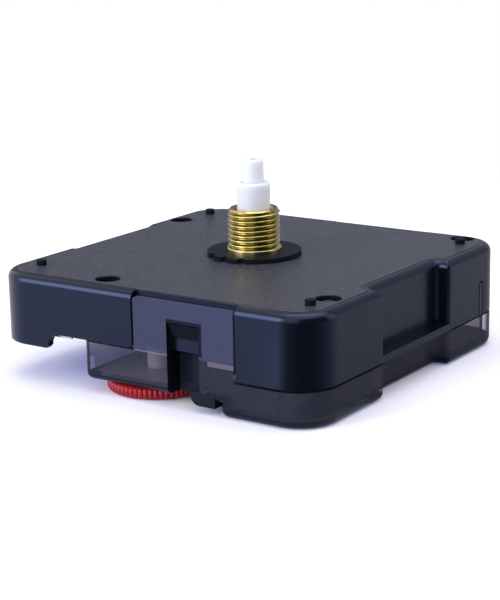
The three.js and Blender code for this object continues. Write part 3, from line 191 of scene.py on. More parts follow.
def soft_lamp(name, azimuth, elevation, strength, spread, colour):
    """A far soft lamp. It stands in the direction of the azimuth, measured from X towards Y, and the elevation;
    all angles are in degrees."""
    made = bpy.data.objects.new(name, bpy.data.lights.new(name, "SUN"))
    made.data.energy = strength
    made.data.angle = math.radians(spread)
    made.data.color = linear(colour)[:3]
    flat = math.cos(math.radians(elevation))
    towards = Vector((flat * math.cos(math.radians(azimuth)), flat * math.sin(math.radians(azimuth)),
                      math.sin(math.radians(elevation))))
    made.rotation_euler = towards.to_track_quat("Z", "Y").to_euler()
    scene.collection.objects.link(made)


soft_lamp("overhead_softbox", 100, 78, 0.9, 50, "#ffffff")
soft_lamp("window_light", -124, 20, 1.9, 40, "#e6eaff")
soft_lamp("small_lamp", -116, 22, 0.25, 2, "#e6eaff")
soft_lamp("front_softbox", -50, 45, 0.7, 80, "#ffffff")
soft_lamp("back_softbox", 45, 35, 0.3, 60, "#fff8f0")

# Sheets round the movement, kept from the camera, that paint reflections: the polished walls, the brass and the cover
# mirror them. Two stand on an arc about the shafts, and one lies on the card and fans out from the near corner, from
# white on the left over black to grey, which paints a light band and a dark zone on the near corner. Bearings are in
# degrees, measured from X towards Y, and paleness is the share of light thrown back.
studio_sheet, tree = new_material("studio_sheet")
paleness = add_node(tree, "Attribute", {"attribute_name": "paleness"})
sheet_light = add_node(tree, "BsdfDiffuse", links={"Color": paleness})
add_node(tree, "OutputMaterial", links={"Surface": sheet_light})


def fan_sheet(name, near, far, centre, shades, steps=60):
    """A sheet between two arcs about a centre, each given as (radius, height). The shades are (bearing, paleness)
    pairs, and the paleness runs evenly from each pair to the next."""
    shades = np.array(shades, float)
    bearings = np.linspace(shades[0, 0], shades[-1, 0], steps + 1)
    ways = np.column_stack((np.cos(np.radians(bearings)), np.sin(np.radians(bearings))))
    arcs = [np.column_stack((centre + radius * ways, np.full(steps + 1, height))) for radius, height in (near, far)]
    made = filled(name, np.vstack(arcs), [(at, at + steps + 1, at + steps + 2, at + 1) for at in range(steps)])
    for seen_by in ("visible_camera", "visible_diffuse", "visible_transmission", "visible_shadow"):
        setattr(made, seen_by, False)
    shade = np.tile(np.interp(bearings, shades[:, 0], shades[:, 1]), 2)[:, None]
    shade = np.hstack((np.repeat(shade, 3, axis=1), np.ones_like(shade)))
    made.data.attributes.new("paleness", "FLOAT_COLOR", "POINT").data.foreach_set("color", shade.ravel())
    made.data.materials.append(studio_sheet)


# The lying sheet paints the near corner's reflections: a white strip for its light band and black for its dark zone.
fan_sheet("lying_sheet", (11, 0.01), (260, 0.01), (22.0, -22.0),
          [(-132, 0.7), (-122, 0.7), (-119, 1.0), (-111, 1.0), (-104, 0.5), (-92, 0.15), (-80, 0.03), (-60, 0.004),
           (-34, 0.004), (-14, 0.08), (12, 0.24), (40, 0.36), (110, 0.36)])
fan_sheet("black_flag", (260, 2), (260, 260), (0.0, 0.0), [(-58, 0.005), (16, 0.005)])
fan_sheet("grey_flag", (260, 8), (260, 320), (0.0, 0.0), [(45, 0.29), (155, 0.29)])


# Front case. The black half is moulded in ABS: a finely textured plate on the dial side, polished walls with a
# rounded upper edge, the battery tray's wall, and recesses where the cover's latch tabs drop in.
CASE_HALF = 28.0
CASE_WALL = 1.2
CASE_FOOT = 5.425
PLATE_THICKNESS = 1.2
PLATE_UNDERSIDE = CASE_TOP - PLATE_THICKNESS
PLATE_MIDST = PLATE_UNDERSIDE + PLATE_THICKNESS / 2
EDGE_FILLET = 1.2
EDGE_BREAK = 0.12
CORNER_RADIUS = 6.0
TRAY_WALL_OUTER = -11.0
TRAY_WALL_INNER = -9.9
TRAY_WALL_FOOT = 7.75
RECESS_LOW = -9.5
RECESS_HIGH = 9.8
RECESS_DEPTH = 2.1
RECESS_CORNER = 0.6
RECESS_SHELF_TOP = 6.5
LEFT_RECESS_DEPTH = 0.7
LEFT_RECESS_CORNER = 0.35
PLATEAU_INSET = 1.55
PLATEAU_RISE = 0.06
PLATEAU_BEVEL = 0.05
PLATEAU_ROOT = 0.5
TAB_LEFT = -1.75
TAB_RIGHT = 15.2
POCKET_LEFT = TAB_LEFT - 0.35
POCKET_RIGHT = TAB_RIGHT + 0.35
INNER_WALL = 0.8
WINDOW_LEFT = 4.0
WINDOW_RIGHT = 9.45
WINDOW_FOOT = 8.15
WINDOW_TOP = 12.3
SNAP_GAP = 0.2
END_GAP = 0.12
THIRD_AXIS = (1.4745, 8.3625)
THIRD_BOSS_FOOT = 11.2
KNOB_AXIS = (-3.35, -20.3)
KNOB_BOSS_FOOT = PLATE_UNDERSIDE - 1.5
POST_PLACES = [(-7.6, -10.2), (-7.6, 14.4), (16.4, 14.4), (10.6, -22.4)]
MIDDLE_PLATE_TOP = 8.8
COLLAR_RADIUS = 7.15
COLLAR_TOP = CASE_TOP + 0.75
HOLE_RADIUS = 1.85
BLIND_HOLE_DEPTH = 2.0
TRAY_HOLE_DEPTH = 3.2
HOLE_PIN_RADIUS = 1.0
CUT_OVERRUN = 0.6
SMALLEST_RADIUS = 0.05


def rounded_outline(corners, inset=0.0):
    """Plan of a right-angled shape run anticlockwise, given as (x, y, radius, steps) and drawn in by an inset.
    An outer corner's radius shrinks by the inset and an inner corner's grows by it, as far as the shorter side
    beside it has room. Each arc turns a quarter about its centre, from square to the side that comes in."""
    spots = np.array([corner[:2] for corner in corners], float)
    radii = np.array([corner[2] for corner in corners], float)
    step = np.roll(spots, -1, axis=0) - spots
    leave = np.sign(step)
    enter = np.roll(leave, 1, axis=0)
    turn = enter[:, 0] * leave[:, 1] - enter[:, 1] * leave[:, 0]
    grown = np.maximum(radii - turn * inset, SMALLEST_RADIUS)
    side = np.abs(step).sum(axis=1) - inset * (turn + np.roll(turn, -1))
    ahead = np.maximum(side - np.roll(grown, -1) - SMALLEST_RADIUS, (side - SMALLEST_RADIUS) / 2)
    side = np.roll(side, 1)
    behind = np.maximum(side - np.roll(grown, 1) - SMALLEST_RADIUS, (side - SMALLEST_RADIUS) / 2)
    radius = np.minimum(grown, np.minimum(ahead, behind))
    both = enter + leave
    centre = spots + inset * np.column_stack((-both[:, 1], both[:, 0])) + radius[:, None] * (leave - enter)
    start = np.arctan2(-leave[:, 1], -leave[:, 0])
    arcs = []
    for place, r, t, s, corner in zip(centre, radius, turn, start, corners):
        angle = s + t * np.linspace(0, math.pi / 2, corner[3] + 1)
        arcs.append(place + r * np.column_stack((np.cos(angle), np.sin(angle))))
    return np.vstack(arcs)


def lofted(rings):
    """Closed solid through rings of equal point counts, each (outline, height) from the lowest up: quads join each
    ring to the next, and a flat face closes each end."""
    count = len(rings[0][0])
    points = np.vstack([np.column_stack((outline, np.full(count, height))) for outline, height in rings])
    here = np.arange(count)
    after = (here + 1) % count
    row = np.arange(len(rings) - 1)[:, None] * count
    walls = np.stack((row + here, row + after, row + after + count, row + here + count), axis=-1)
    lid = (len(rings) - 1) * count + here
    return points, walls.reshape(-1, 4).tolist() + [here[::-1].tolist(), lid.tolist()]


def stacked(corners, *levels):
    """Rings of one plan, each level given as (inset, height)."""
    return [(rounded_outline(corners, inset), height) for inset, height in levels]


def fillet_rings(corners, radius, flat_height, way, inset=0.0, steps=8):
    """Rings up a rounded edge: at angle t the inset is radius * (1 - cos t), and the height lies
    radius * (1 - sin t) short of the flat face."""
    return stacked(corners, *((inset + radius * (1 - math.cos(t)), flat_height - way * radius * (1 - math.sin(t)))
                              for t in np.linspace(0, math.pi / 2, steps + 1)))


def upright(outline, low, high):
    """A plan outline raised from one height to another."""
    outline = np.asarray(outline, float)
    return lofted([(outline, low), (outline, high)])


def carried(outline, near, far, way):
    """An outline of two coordinates carried along the third, run anticlockwise for way 1 and clockwise for way -1."""
    outline = np.asarray(outline, float)
    area = np.sum(outline[:, 0] * np.roll(outline[:, 1], -1) - np.roll(outline[:, 0], -1) * outline[:, 1])
    outline = outline if area * way > 0 else outline[::-1]
    return lofted([(outline, min(near, far)), (outline, max(near, far))])


def lying_along_y(outline, near, far):
    """An outline of (x, z) points carried along Y."""
    points, faces = carried(outline, near, far, -1)
    return points[:, [0, 2, 1]], faces


def lying_along_x(outline, near, far):
    """An outline of (y, z) points carried along X."""
    points, faces = carried(outline, near, far, 1)
    return points[:, [2, 0, 1]], faces


def brick(x, y, z):
    """A block between two bounds along each axis, given in either order."""
    x, y = sorted(x), sorted(y)
    return upright([(x[0], y[0]), (x[1], y[0]), (x[1], y[1]), (x[0], y[1])], *sorted(z))


def ring(radius, centre=(0, 0), sides=48):
    """The points of a circle: the centre and radius times (cos t, sin t)."""
    t = np.arange(sides) * 2 * math.pi / sides
    return np.column_stack((centre[0] + radius * np.cos(t), centre[1] + radius * np.sin(t)))


def pin(radius, low, high, centre=(0, 0), sides=48, edge=0.0):
    """An upright round pin, with its top edge rounded by a quarter circle of radius edge."""
    rings = [(ring(radius, centre, sides), low)]
    if edge:
        rings += [(ring(radius - edge * (1 - math.cos(t)), centre, sides), high - edge * (1 - math.sin(t)))
                  for t in np.linspace(0, math.pi / 2, 5)]
    else:
        rings.append((ring(radius, centre, sides), high))
    return lofted(rings)


def together(solids):
    """Several solids that don't touch, as one list of points and faces."""
    points, faces, start = [], [], 0
    for some_points, some_faces in solids:
        points.append(np.asarray(some_points, float))
        faces += [[corner + start for corner in face] for face in some_faces]
        start += len(some_points)
    return np.vstack(points), faces


def at_both_ends(shape):
    """What a shape gives for each end wall of the movement: side -1 is the front one and side 1 the back one."""
    return together([shape(side) for side in (-1, 1)])


def end_bricks(*blocks):
    """Blocks at both end walls, each given as its bounds across, its two distances from the middle and its bounds
    in height."""
    return at_both_ends(lambda side: together([brick(across, (side * out, side * inwards), heights)
                                               for across, (out, inwards), heights in blocks]))


JOIN, CUT, KEEP = "UNION", "DIFFERENCE", "INTERSECT"


def carved(name, body, steps):
    """A solid made from a body in steps, each given as an operation and a solid: one that is joined to the body, one
    that is cut out of it, or one that is all that is kept of it."""
    made = filled(name, *body)
    tools = []
    for operation, solid in steps:
        tools.append(filled("tool", *solid))
        change = made.modifiers.new("carve", "BOOLEAN")
        change.operation = operation
        change.solver = "MANIFOLD"
        change.object = tools[-1]
    done = made.evaluated_get(bpy.context.evaluated_depsgraph_get())
    mesh = bpy.data.meshes.new_from_object(done)
    mesh.materials.clear()
    made.modifiers.clear()
    made.data = mesh
    for tool in tools:
        bpy.data.objects.remove(tool)
    return made


def taken_apart(made):
    """A solid's points, in millimetres, and its faces. Its object is removed."""
    points = np.empty(len(made.data.vertices) * 3)
    made.data.vertices.foreach_get("co", points)
    faces = [list(face.vertices) for face in made.data.polygons]
    bpy.data.objects.remove(made)
    return points.reshape(-1, 3) / METRES, faces


def shaded(made, fold_degrees=32):
    """Shades a piece smooth, but for edges that fold by more than the angle, and lets the large faces lead."""
    made.data.shade_smooth()
    made.data.set_sharp_from_angle(angle=math.radians(fold_degrees))
    lead = made.modifiers.new("lead", "WEIGHTED_NORMAL")
    lead.keep_sharp = True
    lead.weight = 100


def face_places(mesh):
    """Each face's middle, in millimetres, and its normal."""
    middles = np.empty(len(mesh.polygons) * 3)
    normals = np.empty(len(mesh.polygons) * 3)
    mesh.polygons.foreach_get("center", middles)
    mesh.polygons.foreach_get("normal", normals)
    return middles.reshape(-1, 3) / METRES, normals.reshape(-1, 3)


def between(values, low, high):
    """Which of the values lie between two bounds."""
    return (values > low) & (values < high)


right_side = [
    (CASE_HALF, -CASE_HALF, CORNER_RADIUS, 18),
    (CASE_HALF, RECESS_LOW, RECESS_CORNER, 6),
    (CASE_HALF - RECESS_DEPTH, RECESS_LOW, RECESS_CORNER, 6),
    (CASE_HALF - RECESS_DEPTH, RECESS_HIGH, RECESS_CORNER, 6),
    (CASE_HALF, RECESS_HIGH, RECESS_CORNER, 6),
    (CASE_HALF, CASE_HALF, CORNER_RADIUS, 18),
]
case_corners = right_side + [
    (-CASE_HALF, CASE_HALF, CORNER_RADIUS, 18),
    (-CASE_HALF, RECESS_HIGH, LEFT_RECESS_CORNER, 4),
    (-CASE_HALF + LEFT_RECESS_DEPTH, RECESS_HIGH, LEFT_RECESS_CORNER, 4),
    (-CASE_HALF + LEFT_RECESS_DEPTH, RECESS_LOW, LEFT_RECESS_CORNER, 4),
    (-CASE_HALF, RECESS_LOW, LEFT_RECESS_CORNER, 4),
    (-CASE_HALF, -CASE_HALF, CORNER_RADIUS, 18),
]
wall_top = CASE_TOP - PLATEAU_RISE
cut_foot = CASE_FOOT - CUT_OVERRUN
shell = lofted(stacked(case_corners, (EDGE_BREAK, CASE_FOOT), (0, CASE_FOOT + EDGE_BREAK))
               + fillet_rings(case_corners, EDGE_FILLET, wall_top, 1))
plateau = lofted(stacked(case_corners, (PLATEAU_INSET, wall_top - PLATEAU_ROOT),
                         (PLATEAU_INSET, CASE_TOP - PLATEAU_BEVEL), (PLATEAU_INSET + PLATEAU_BEVEL, CASE_TOP)))
cavity = upright(rounded_outline(case_corners, CASE_WALL), cut_foot, PLATE_UNDERSIDE)
shelf = brick((CASE_HALF - RECESS_DEPTH - CASE_WALL, CASE_HALF),
              (RECESS_LOW - RECESS_CORNER, RECESS_HIGH + RECESS_CORNER), (CASE_FOOT, RECESS_SHELF_TOP))
partition = brick((TRAY_WALL_OUTER, TRAY_WALL_INNER), (-CASE_HALF + CASE_WALL / 2, CASE_HALF - CASE_WALL / 2),
                  (TRAY_WALL_FOOT, PLATE_MIDST))

# The lower edge of the end walls: a leg by the tray's corner, then a rounded step up over the cover
leg_edge, step_x, step_z, step_radius, step_bevel = -18, -17.6, CASE_FOOT + 0.45, 1.9, 0.45
sweep = np.linspace(0, math.pi / 2, 13)
step_curve = np.column_stack((step_x + step_radius * (1 - np.cos(sweep)),
                              step_z + (TRAY_WALL_FOOT - step_z) * np.sin(sweep)))
notch = np.vstack(([(leg_edge, cut_foot), (leg_edge, CASE_FOOT)], step_curve,
                   [(POCKET_LEFT - step_bevel, TRAY_WALL_FOOT), (POCKET_LEFT, TRAY_WALL_FOOT + step_bevel),
                    (POCKET_LEFT + CUT_OVERRUN, TRAY_WALL_FOOT + step_bevel),
                    (POCKET_LEFT + CUT_OVERRUN, cut_foot)]))
notches = at_both_ends(lambda side: lying_along_y(notch, side * (CASE_HALF + CUT_OVERRUN),
                                                  side * (CASE_HALF - CASE_WALL - CUT_OVERRUN)))
tab_pockets = end_bricks(((POCKET_LEFT, POCKET_RIGHT), (CASE_HALF + CUT_OVERRUN, CASE_HALF - EDGE_FILLET),
                          (cut_foot, CASE_TOP + CUT_OVERRUN)))
under_pockets = end_bricks(((POCKET_LEFT, POCKET_RIGHT),
                            (CASE_HALF - CASE_WALL / 2, CASE_HALF - CASE_WALL - CUT_OVERRUN),
                            (cut_foot, WINDOW_FOOT)))
inner_walls = end_bricks(((POCKET_LEFT - CASE_WALL, POCKET_RIGHT + CASE_WALL),
                          (CASE_HALF - EDGE_FILLET, CASE_HALF - EDGE_FILLET - INNER_WALL),
                          (WINDOW_FOOT, PLATE_MIDST)))


def latch_hook(side, rooted=0.4, reach=1.0, height=2.2):
    """The wedge that a tab's window drops over: flat on top, and sloped below."""
    face = side * (CASE_HALF - EDGE_FILLET)
    top = WINDOW_TOP - SNAP_GAP
    return lying_along_x([(face - side * rooted, top), (face + side * reach, top), (face, top - height),
                          (face - side * rooted, top - height)], WINDOW_LEFT + SNAP_GAP, WINDOW_RIGHT - SNAP_GAP)


# Bosses and bores under the plate, and what stands on it or is sunk in it
pin_places = [(23.6, 21.7), (-23.6, 21.7), (-23.6, -21.7), (23.6, -21.7)]
blind_holes = [(23.9, -17.6), (22.3, 25.0)]
through_hole = (-24.9, 15.3)
tray_hole = (-9.4, -23.7)
bearing_bosses = together([pin(1.3, MIDDLE_PLATE_TOP + END_GAP, PLATE_MIDST, place) for place in POST_PLACES]
                          + [pin(0.8, THIRD_BOSS_FOOT, PLATE_MIDST, THIRD_AXIS),
                             pin(1.6, KNOB_BOSS_FOOT, PLATE_MIDST, KNOB_AXIS)])
bearing_bores = together([pin(0.43, THIRD_BOSS_FOOT - CUT_OVERRUN, PLATE_UNDERSIDE - END_GAP, THIRD_AXIS),
                          pin(0.85, KNOB_BOSS_FOOT - CUT_OVERRUN, PLATE_UNDERSIDE - END_GAP, KNOB_AXIS)])
hole_bosses = together([pin(2.7, CASE_TOP - 2.9, PLATE_MIDST, place) for place in blind_holes])
inside_walls = upright(rounded_outline(case_corners, CASE_WALL / 2), 1, PLATE_MIDST)
trimmed_bosses = taken_apart(carved("hole_bosses", hole_bosses, [(KEEP, inside_walls)]))
top_bosses = together([pin(COLLAR_RADIUS, PLATE_MIDST, COLLAR_TOP, sides=160, edge=EDGE_BREAK)]
                      + [pin(0.78, PLATE_MIDST, CASE_TOP + 0.8, place, 32, edge=0.18) for place in pin_places])
bush_hole = pin(4.17, PLATE_UNDERSIDE - CUT_OVERRUN, COLLAR_TOP + CUT_OVERRUN, sides=96)
notch_bearings = np.radians((-120, -96, -72))
collar_notches = together([pin(0.62, CASE_TOP, COLLAR_TOP + CUT_OVERRUN, place, 32) for place in
                           COLLAR_RADIUS * np.column_stack((np.cos(notch_bearings), np.sin(notch_bearings)))])


def plate_hole(foot, place):
    """A round hole whose rim is broken by a small chamfer."""
    narrow, wide = ring(HOLE_RADIUS, place), ring(HOLE_RADIUS + EDGE_BREAK, place)
    return lofted([(narrow, foot), (narrow, CASE_TOP - EDGE_BREAK), (wide, CASE_TOP),
                   (wide, CASE_TOP + CUT_OVERRUN)])


plate_holes = together([plate_hole(PLATE_UNDERSIDE - CUT_OVERRUN, through_hole),
                        plate_hole(CASE_TOP - TRAY_HOLE_DEPTH, tray_hole)]
                       + [plate_hole(CASE_TOP - BLIND_HOLE_DEPTH, place) for place in blind_holes])
hole_pins = together([pin(HOLE_PIN_RADIUS, CASE_TOP - BLIND_HOLE_DEPTH - 0.2, CASE_TOP - 0.4, place, 40, edge=0.3)
                      for place in blind_holes])
contact_slots = end_bricks(((TRAY_WALL_OUTER - CUT_OVERRUN, TRAY_WALL_INNER + CUT_OVERRUN),
                            (CASE_HALF - CASE_WALL - 1.3, CASE_HALF - CASE_WALL),
                            (TRAY_WALL_FOOT - CUT_OVERRUN, 10.1)))

# The thin arched slit round the snap tongue in the right-hand wall
slit_low, slit_high, slit_top, slit_width, slit_depth = 19.6, 21.1, 10.9, 0.25, 0.45
slit_radius = (slit_high - slit_low) / 2
half_turn = np.linspace(0, math.pi, 17)


def arch(radius):
    """Half a circle over the slit's middle line."""
    return np.column_stack(((slit_low + slit_high) / 2 + radius * np.cos(half_turn),
                            slit_top - slit_radius + radius * np.sin(half_turn)))


slit = lying_along_x(np.vstack(([(slit_high, cut_foot)], arch(slit_radius),
                                [(slit_low, cut_foot), (slit_low + slit_width, cut_foot)],
                                arch(slit_radius - slit_width)[::-1], [(slit_high - slit_width, cut_foot)])),
                     CASE_HALF - slit_depth, CASE_HALF + CUT_OVERRUN)

front_case = carved("case_moulding", shell, [
    (JOIN, plateau), (CUT, cavity), (JOIN, shelf), (JOIN, partition),
    (CUT, notches), (CUT, tab_pockets), (CUT, under_pockets),
    (JOIN, inner_walls), (JOIN, at_both_ends(latch_hook)),
    (JOIN, bearing_bosses), (JOIN, trimmed_bosses), (JOIN, top_bosses),
    (CUT, bearing_bores), (CUT, bush_hole), (CUT, plate_holes),
    (CUT, contact_slots), (CUT, collar_notches), (CUT, slit), (JOIN, hole_pins),
])

# Polished black ABS: nearly black, under a hard gloss whose reflections a blue specular tint paints blue, with faint
# moulding waves
gloss_abs, tree = new_material("polished_black_abs")
place = add_node(tree, "TexCoord").outputs["Object"]
waves = add_node(tree, "TexNoise", values={"Scale": 1000 / 9.0, "Detail": 2.0}, links={"Vector": place})
wave_bump = add_node(tree, "Bump", values={"Strength": 0.25, "Distance": 0.00002}, links={"Height": waves})
dust = add_node(tree, "TexNoise", values={"Scale": 1000 / 1.2, "Detail": 4.0}, links={"Vector": place})
rubbed = add_node(tree, "MapRange", values={"To Min": 0.18, "To Max": 0.28}, links={"Value": dust})
shader = add_node(tree, "BsdfPrincipled",
                  values={"Base Color": linear("#0d0f16"), "IOR": 1.5, "Specular IOR Level": 0.5,
                          "Specular Tint": linear("#b0c4ff")},
                  links={"Roughness": rubbed, "Normal": wave_bump})
add_node(tree, "OutputMaterial", links={"Surface": shader})


def mottled(name, pattern, tones, surface, relief=None, skin=None, stretch=None, kind=("TexNoise", None)):
    """A material whose colour follows a fine pattern. pattern and surface are the pattern's and the shader's own
    values, and tones are the two ends of its colour. relief is the strength and the height, in metres, of bumps that
    follow the pattern, or a second noise with the values skin. stretch is the pattern's scale along each axis, and
    kind is the node that draws it, with its settings."""
    material, tree = new_material(name)
    place = add_node(tree, "TexCoord").outputs["Object"]
    if stretch:
        place = add_node(tree, "Mapping", values={"Scale": stretch}, links={"Vector": place})
    mottle = add_node(tree, *kind, pattern, {"Vector": place}).outputs["Fac"]
    links = {"Base Color": add_node(tree, "ValToRGB", links={"Fac": mottle}, ramp=tones)}
    if skin:
        mottle = add_node(tree, "TexNoise", values=skin, links={"Vector": place}).outputs["Fac"]
    if relief:
        links["Normal"] = add_node(tree, "Bump", links={"Height": mottle},
                                   values={"Strength": relief[0], "Distance": relief[1]})
    shader = add_node(tree, "BsdfPrincipled", values=surface, links=links)
    add_node(tree, "OutputMaterial", links={"Surface": shader})
    return material


# Spark-eroded texture on the plate: a matt grain that breaks the light into fine specks. The real grain is about
# 0.2 mm, and it is drawn at 0.36 mm, as coarse as it needs to show
textured_abs = mottled("textured_black_abs", {"Scale": 1000 / 0.36, "Detail": 3.0, "Roughness": 0.6},
                       ((0.35, "#2b2d34"), (0.7, "#484a54")),
                       {"Roughness": 0.26, "IOR": 1.5, "Specular IOR Level": 0.2}, relief=(1.0, 0.0002))

# Dull black ABS: the collar, the pins, the holes' walls and the latch hooks hardly mirror anything, which keeps them
# dark; on the holes' walls and on the hooks in the pockets this darkness is painted shade
dull_abs = mottled("dull_black_abs", {"Scale": 1000 / 0.7, "Detail": 3.0}, ((0, "#101116"), (1, "#191b22")),
                   {"Roughness": 0.38, "IOR": 1.5, "Specular IOR Level": 0.04})

for finish in (gloss_abs, textured_abs, dull_abs):
    front_case.data.materials.append(finish)
middles, normals = face_places(front_case.data)
x, y, z = middles.T
on_plate = (np.abs(z - CASE_TOP) < 0.01) & (normals[:, 2] > 0.99)
on_hooks = between(np.abs(y), CASE_HALF - EDGE_FILLET + 0.05, CASE_HALF - 0.05)
on_hooks &= between(x, WINDOW_LEFT, WINDOW_RIGHT) & between(z, WINDOW_TOP - 2.5, WINDOW_TOP)
from_holes = np.array([np.hypot(x - hole[0], y - hole[1]) for hole in blind_holes + [through_hole, tray_hole]])
in_holes = np.any(between(from_holes, HOLE_PIN_RADIUS + 0.05, HOLE_RADIUS + 0.05), axis=0)
in_holes &= between(z, PLATE_UNDERSIDE - 2, CASE_TOP - 0.2)
# Faces that hardly mirror: the collar and the pins, and the holes' walls and the hooks, where the darkness is painted
# shade.
dull_and_painted_shade = (z > CASE_TOP + 0.01) | on_hooks | in_holes
front_case.data.polygons.foreach_set("material_index", (on_plate + 2 * dull_and_painted_shade).astype(np.int32))
shaded(front_case)
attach(front_case, "case")
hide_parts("front_case")


# Back cover. The other half is moulded in smoky see-through polystyrene. Its latch tabs stand up outside the case's
# walls, and below the shafts it steps up to leave room for the setting knob.
COVER_RIM = 5.175
COVER_WALL = 1.1
COVER_FLOOR = 1.0
COVER_FILLET = 1.2
POCKET_FILLET = 1.0
INNER_FILLET = 0.5
COVER_CORNER = 1.2
COVER_LEFT_TOP = TRAY_WALL_FOOT - SNAP_GAP
RIM_BREAK = 0.1
POCKET_ROOF = 1.95
POCKET_FLOOR_TOP = 3.0
POCKET_RADIUS = 8.6
POCKET_EDGE = KNOB_AXIS[0] + POCKET_RADIUS
POCKET_BACK = KNOB_AXIS[1] + POCKET_RADIUS
DEEP_LEFT = 12.6
DEEP_BACK = -22.6
TAB_TOP = 15.25
TAB_BEVEL = 0.3
TAB_THICKNESS = 1.0
RIGHT_FOOT_EDGE = 10.9
LIGHT_STRIP_LEFT = (7.5, 7.75)
LIGHT_STRIP_RIGHT = (7.05, 7.75)
CHANNEL_DEPTH = 3.0
CHANNEL_WALL = 0.8
ROTOR_AXIS = (13.2936, -10.2198)
INTERMEDIATE_AXIS = (8.3089, -3.4587)
MIDDLE_PLATE_FOOT = 7.6
STATOR_FOOT = 4.95
BOARD_FOOT = 6.9

cover_corners = right_side + [
    (TRAY_WALL_OUTER, CASE_HALF, COVER_CORNER, 8),
    (TRAY_WALL_OUTER, -CASE_HALF, COVER_CORNER, 8),
]
deep_corners = [(DEEP_LEFT, -CASE_HALF, COVER_CORNER, 8)] + right_side + [
    (TRAY_WALL_OUTER, CASE_HALF, COVER_CORNER, 8),
    (TRAY_WALL_OUTER, POCKET_BACK, COVER_CORNER, 8),
    (POCKET_EDGE, POCKET_BACK, POCKET_RADIUS, 24),
    (POCKET_EDGE, DEEP_BACK, COVER_CORNER / 2, 6),
    (DEEP_LEFT, DEEP_BACK, COVER_CORNER / 2, 6),
]
rim_sunk = COVER_RIM - CUT_OVERRUN
shallow = lofted(fillet_rings(cover_corners, POCKET_FILLET, POCKET_ROOF, -1)[::-1]
                 + stacked(cover_corners, (0, COVER_RIM - RIM_BREAK), (RIM_BREAK, COVER_RIM)))
deep = lofted(fillet_rings(deep_corners, COVER_FILLET, 0, -1)[::-1]
              + stacked(deep_corners, (0, POCKET_FLOOR_TOP)))
lug_left, lug_right, lug_foot, lug_radius = 7.8, 11.95, 1.1, 1.6
lug_curve = np.column_stack((lug_left + lug_radius * (1 - np.cos(sweep)),
                             lug_foot + lug_radius * (1 - np.sin(sweep))))
lug = lying_along_y(np.vstack((lug_curve, [(lug_right, lug_foot), (lug_right, POCKET_FLOOR_TOP),
                                           (lug_left, POCKET_FLOOR_TOP)])), -CASE_HALF, DEEP_BACK + COVER_CORNER)
upper_hollow = upright(rounded_outline(cover_corners, COVER_WALL), POCKET_FLOOR_TOP, COVER_RIM + CUT_OVERRUN)
lower_hollow = lofted(fillet_rings(deep_corners, INNER_FILLET, COVER_FLOOR, -1, COVER_WALL, 4)[::-1]
                      + stacked(deep_corners, (COVER_WALL, POCKET_FLOOR_TOP + CUT_OVERRUN)))
left_wall = brick((TRAY_WALL_OUTER, TRAY_WALL_INNER), (-CASE_HALF + COVER_CORNER, CASE_HALF - COVER_CORNER),
                  (rim_sunk, COVER_LEFT_TOP))
end_wall_right = TAB_LEFT + 0.3
end_outline = rounded_outline(cover_corners)
end_outline[:, 0] = np.minimum(end_outline[:, 0], end_wall_right)
end_blocks = end_bricks(((TRAY_WALL_OUTER - 1, end_wall_right), (CASE_HALF + 1, CASE_HALF - COVER_WALL),
                         (1, CASE_TOP)))
end_walls = taken_apart(carved("end_walls", upright(end_outline, rim_sunk, COVER_LEFT_TOP),
                               [(KEEP, end_blocks)]))

# Each latch tab stands on three feet, the outer two topped by a strip painted light, and a channel runs down from its
# window
tab_outline = [(TAB_LEFT, TRAY_WALL_FOOT), (TAB_RIGHT, TRAY_WALL_FOOT), (TAB_RIGHT, TAB_TOP - TAB_BEVEL),
               (TAB_RIGHT - TAB_BEVEL, TAB_TOP), (TAB_LEFT + TAB_BEVEL, TAB_TOP), (TAB_LEFT, TAB_TOP - TAB_BEVEL)]
tabs = at_both_ends(lambda side: lying_along_y(tab_outline, side * CASE_HALF, side * (CASE_HALF - TAB_THICKNESS)))
tab_depths = (CASE_HALF, CASE_HALF - TAB_THICKNESS)
left_foot, right_foot = (TAB_LEFT, WINDOW_LEFT), (RIGHT_FOOT_EDGE, TAB_RIGHT)
tab_feet = end_bricks((left_foot, tab_depths, (rim_sunk, LIGHT_STRIP_LEFT[0])),
                      (right_foot, tab_depths, (rim_sunk, LIGHT_STRIP_RIGHT[0])))
middle_feet = end_bricks(((WINDOW_LEFT, RIGHT_FOOT_EDGE), tab_depths, (rim_sunk, TRAY_WALL_FOOT)))
light_strips = end_bricks((left_foot, tab_depths, LIGHT_STRIP_LEFT), (right_foot, tab_depths, LIGHT_STRIP_RIGHT))
channel_walls = end_bricks(((WINDOW_LEFT - CHANNEL_WALL, WINDOW_RIGHT + CHANNEL_WALL),
                            (CASE_HALF - COVER_WALL / 2, CASE_HALF - CHANNEL_DEPTH - CHANNEL_WALL),
                            (POCKET_ROOF, WINDOW_FOOT - SNAP_GAP)))


def channel_space(side, foot, right=WINDOW_RIGHT, top=WINDOW_TOP):
    """The space that runs down from a tab's window, open to the outside."""
    return brick((WINDOW_LEFT, right), (side * (CASE_HALF + CUT_OVERRUN), side * (CASE_HALF - CHANNEL_DEPTH)),
                 (foot, top))


def window_bevel(side, lip=0.55):
    """The sloping lip round a window, as wide as it is deep, along its top and its right-hand edge."""
    outer, inner = (np.array([(WINDOW_LEFT, WINDOW_FOOT), (WINDOW_RIGHT + wide, WINDOW_FOOT),
                              (WINDOW_RIGHT + wide, WINDOW_TOP + wide), (WINDOW_LEFT, WINDOW_TOP + wide)])
                    for wide in (lip, 0))
    points, faces = lofted([(outer, side * (CASE_HALF + 0.05)), (outer, side * CASE_HALF),
                            (inner, side * (CASE_HALF - lip)), (inner, side * (CASE_HALF - 1.2))])
    return points[:, [0, 2, 1]], [face[::-1] if side > 0 else face for face in faces]


def boss(radius, top, place=(0, 0), sides=48, edge=0.0):
    """A round boss that stands on the cover's floor."""
    return pin(radius, COVER_FLOOR / 2, top, place, sides, edge)


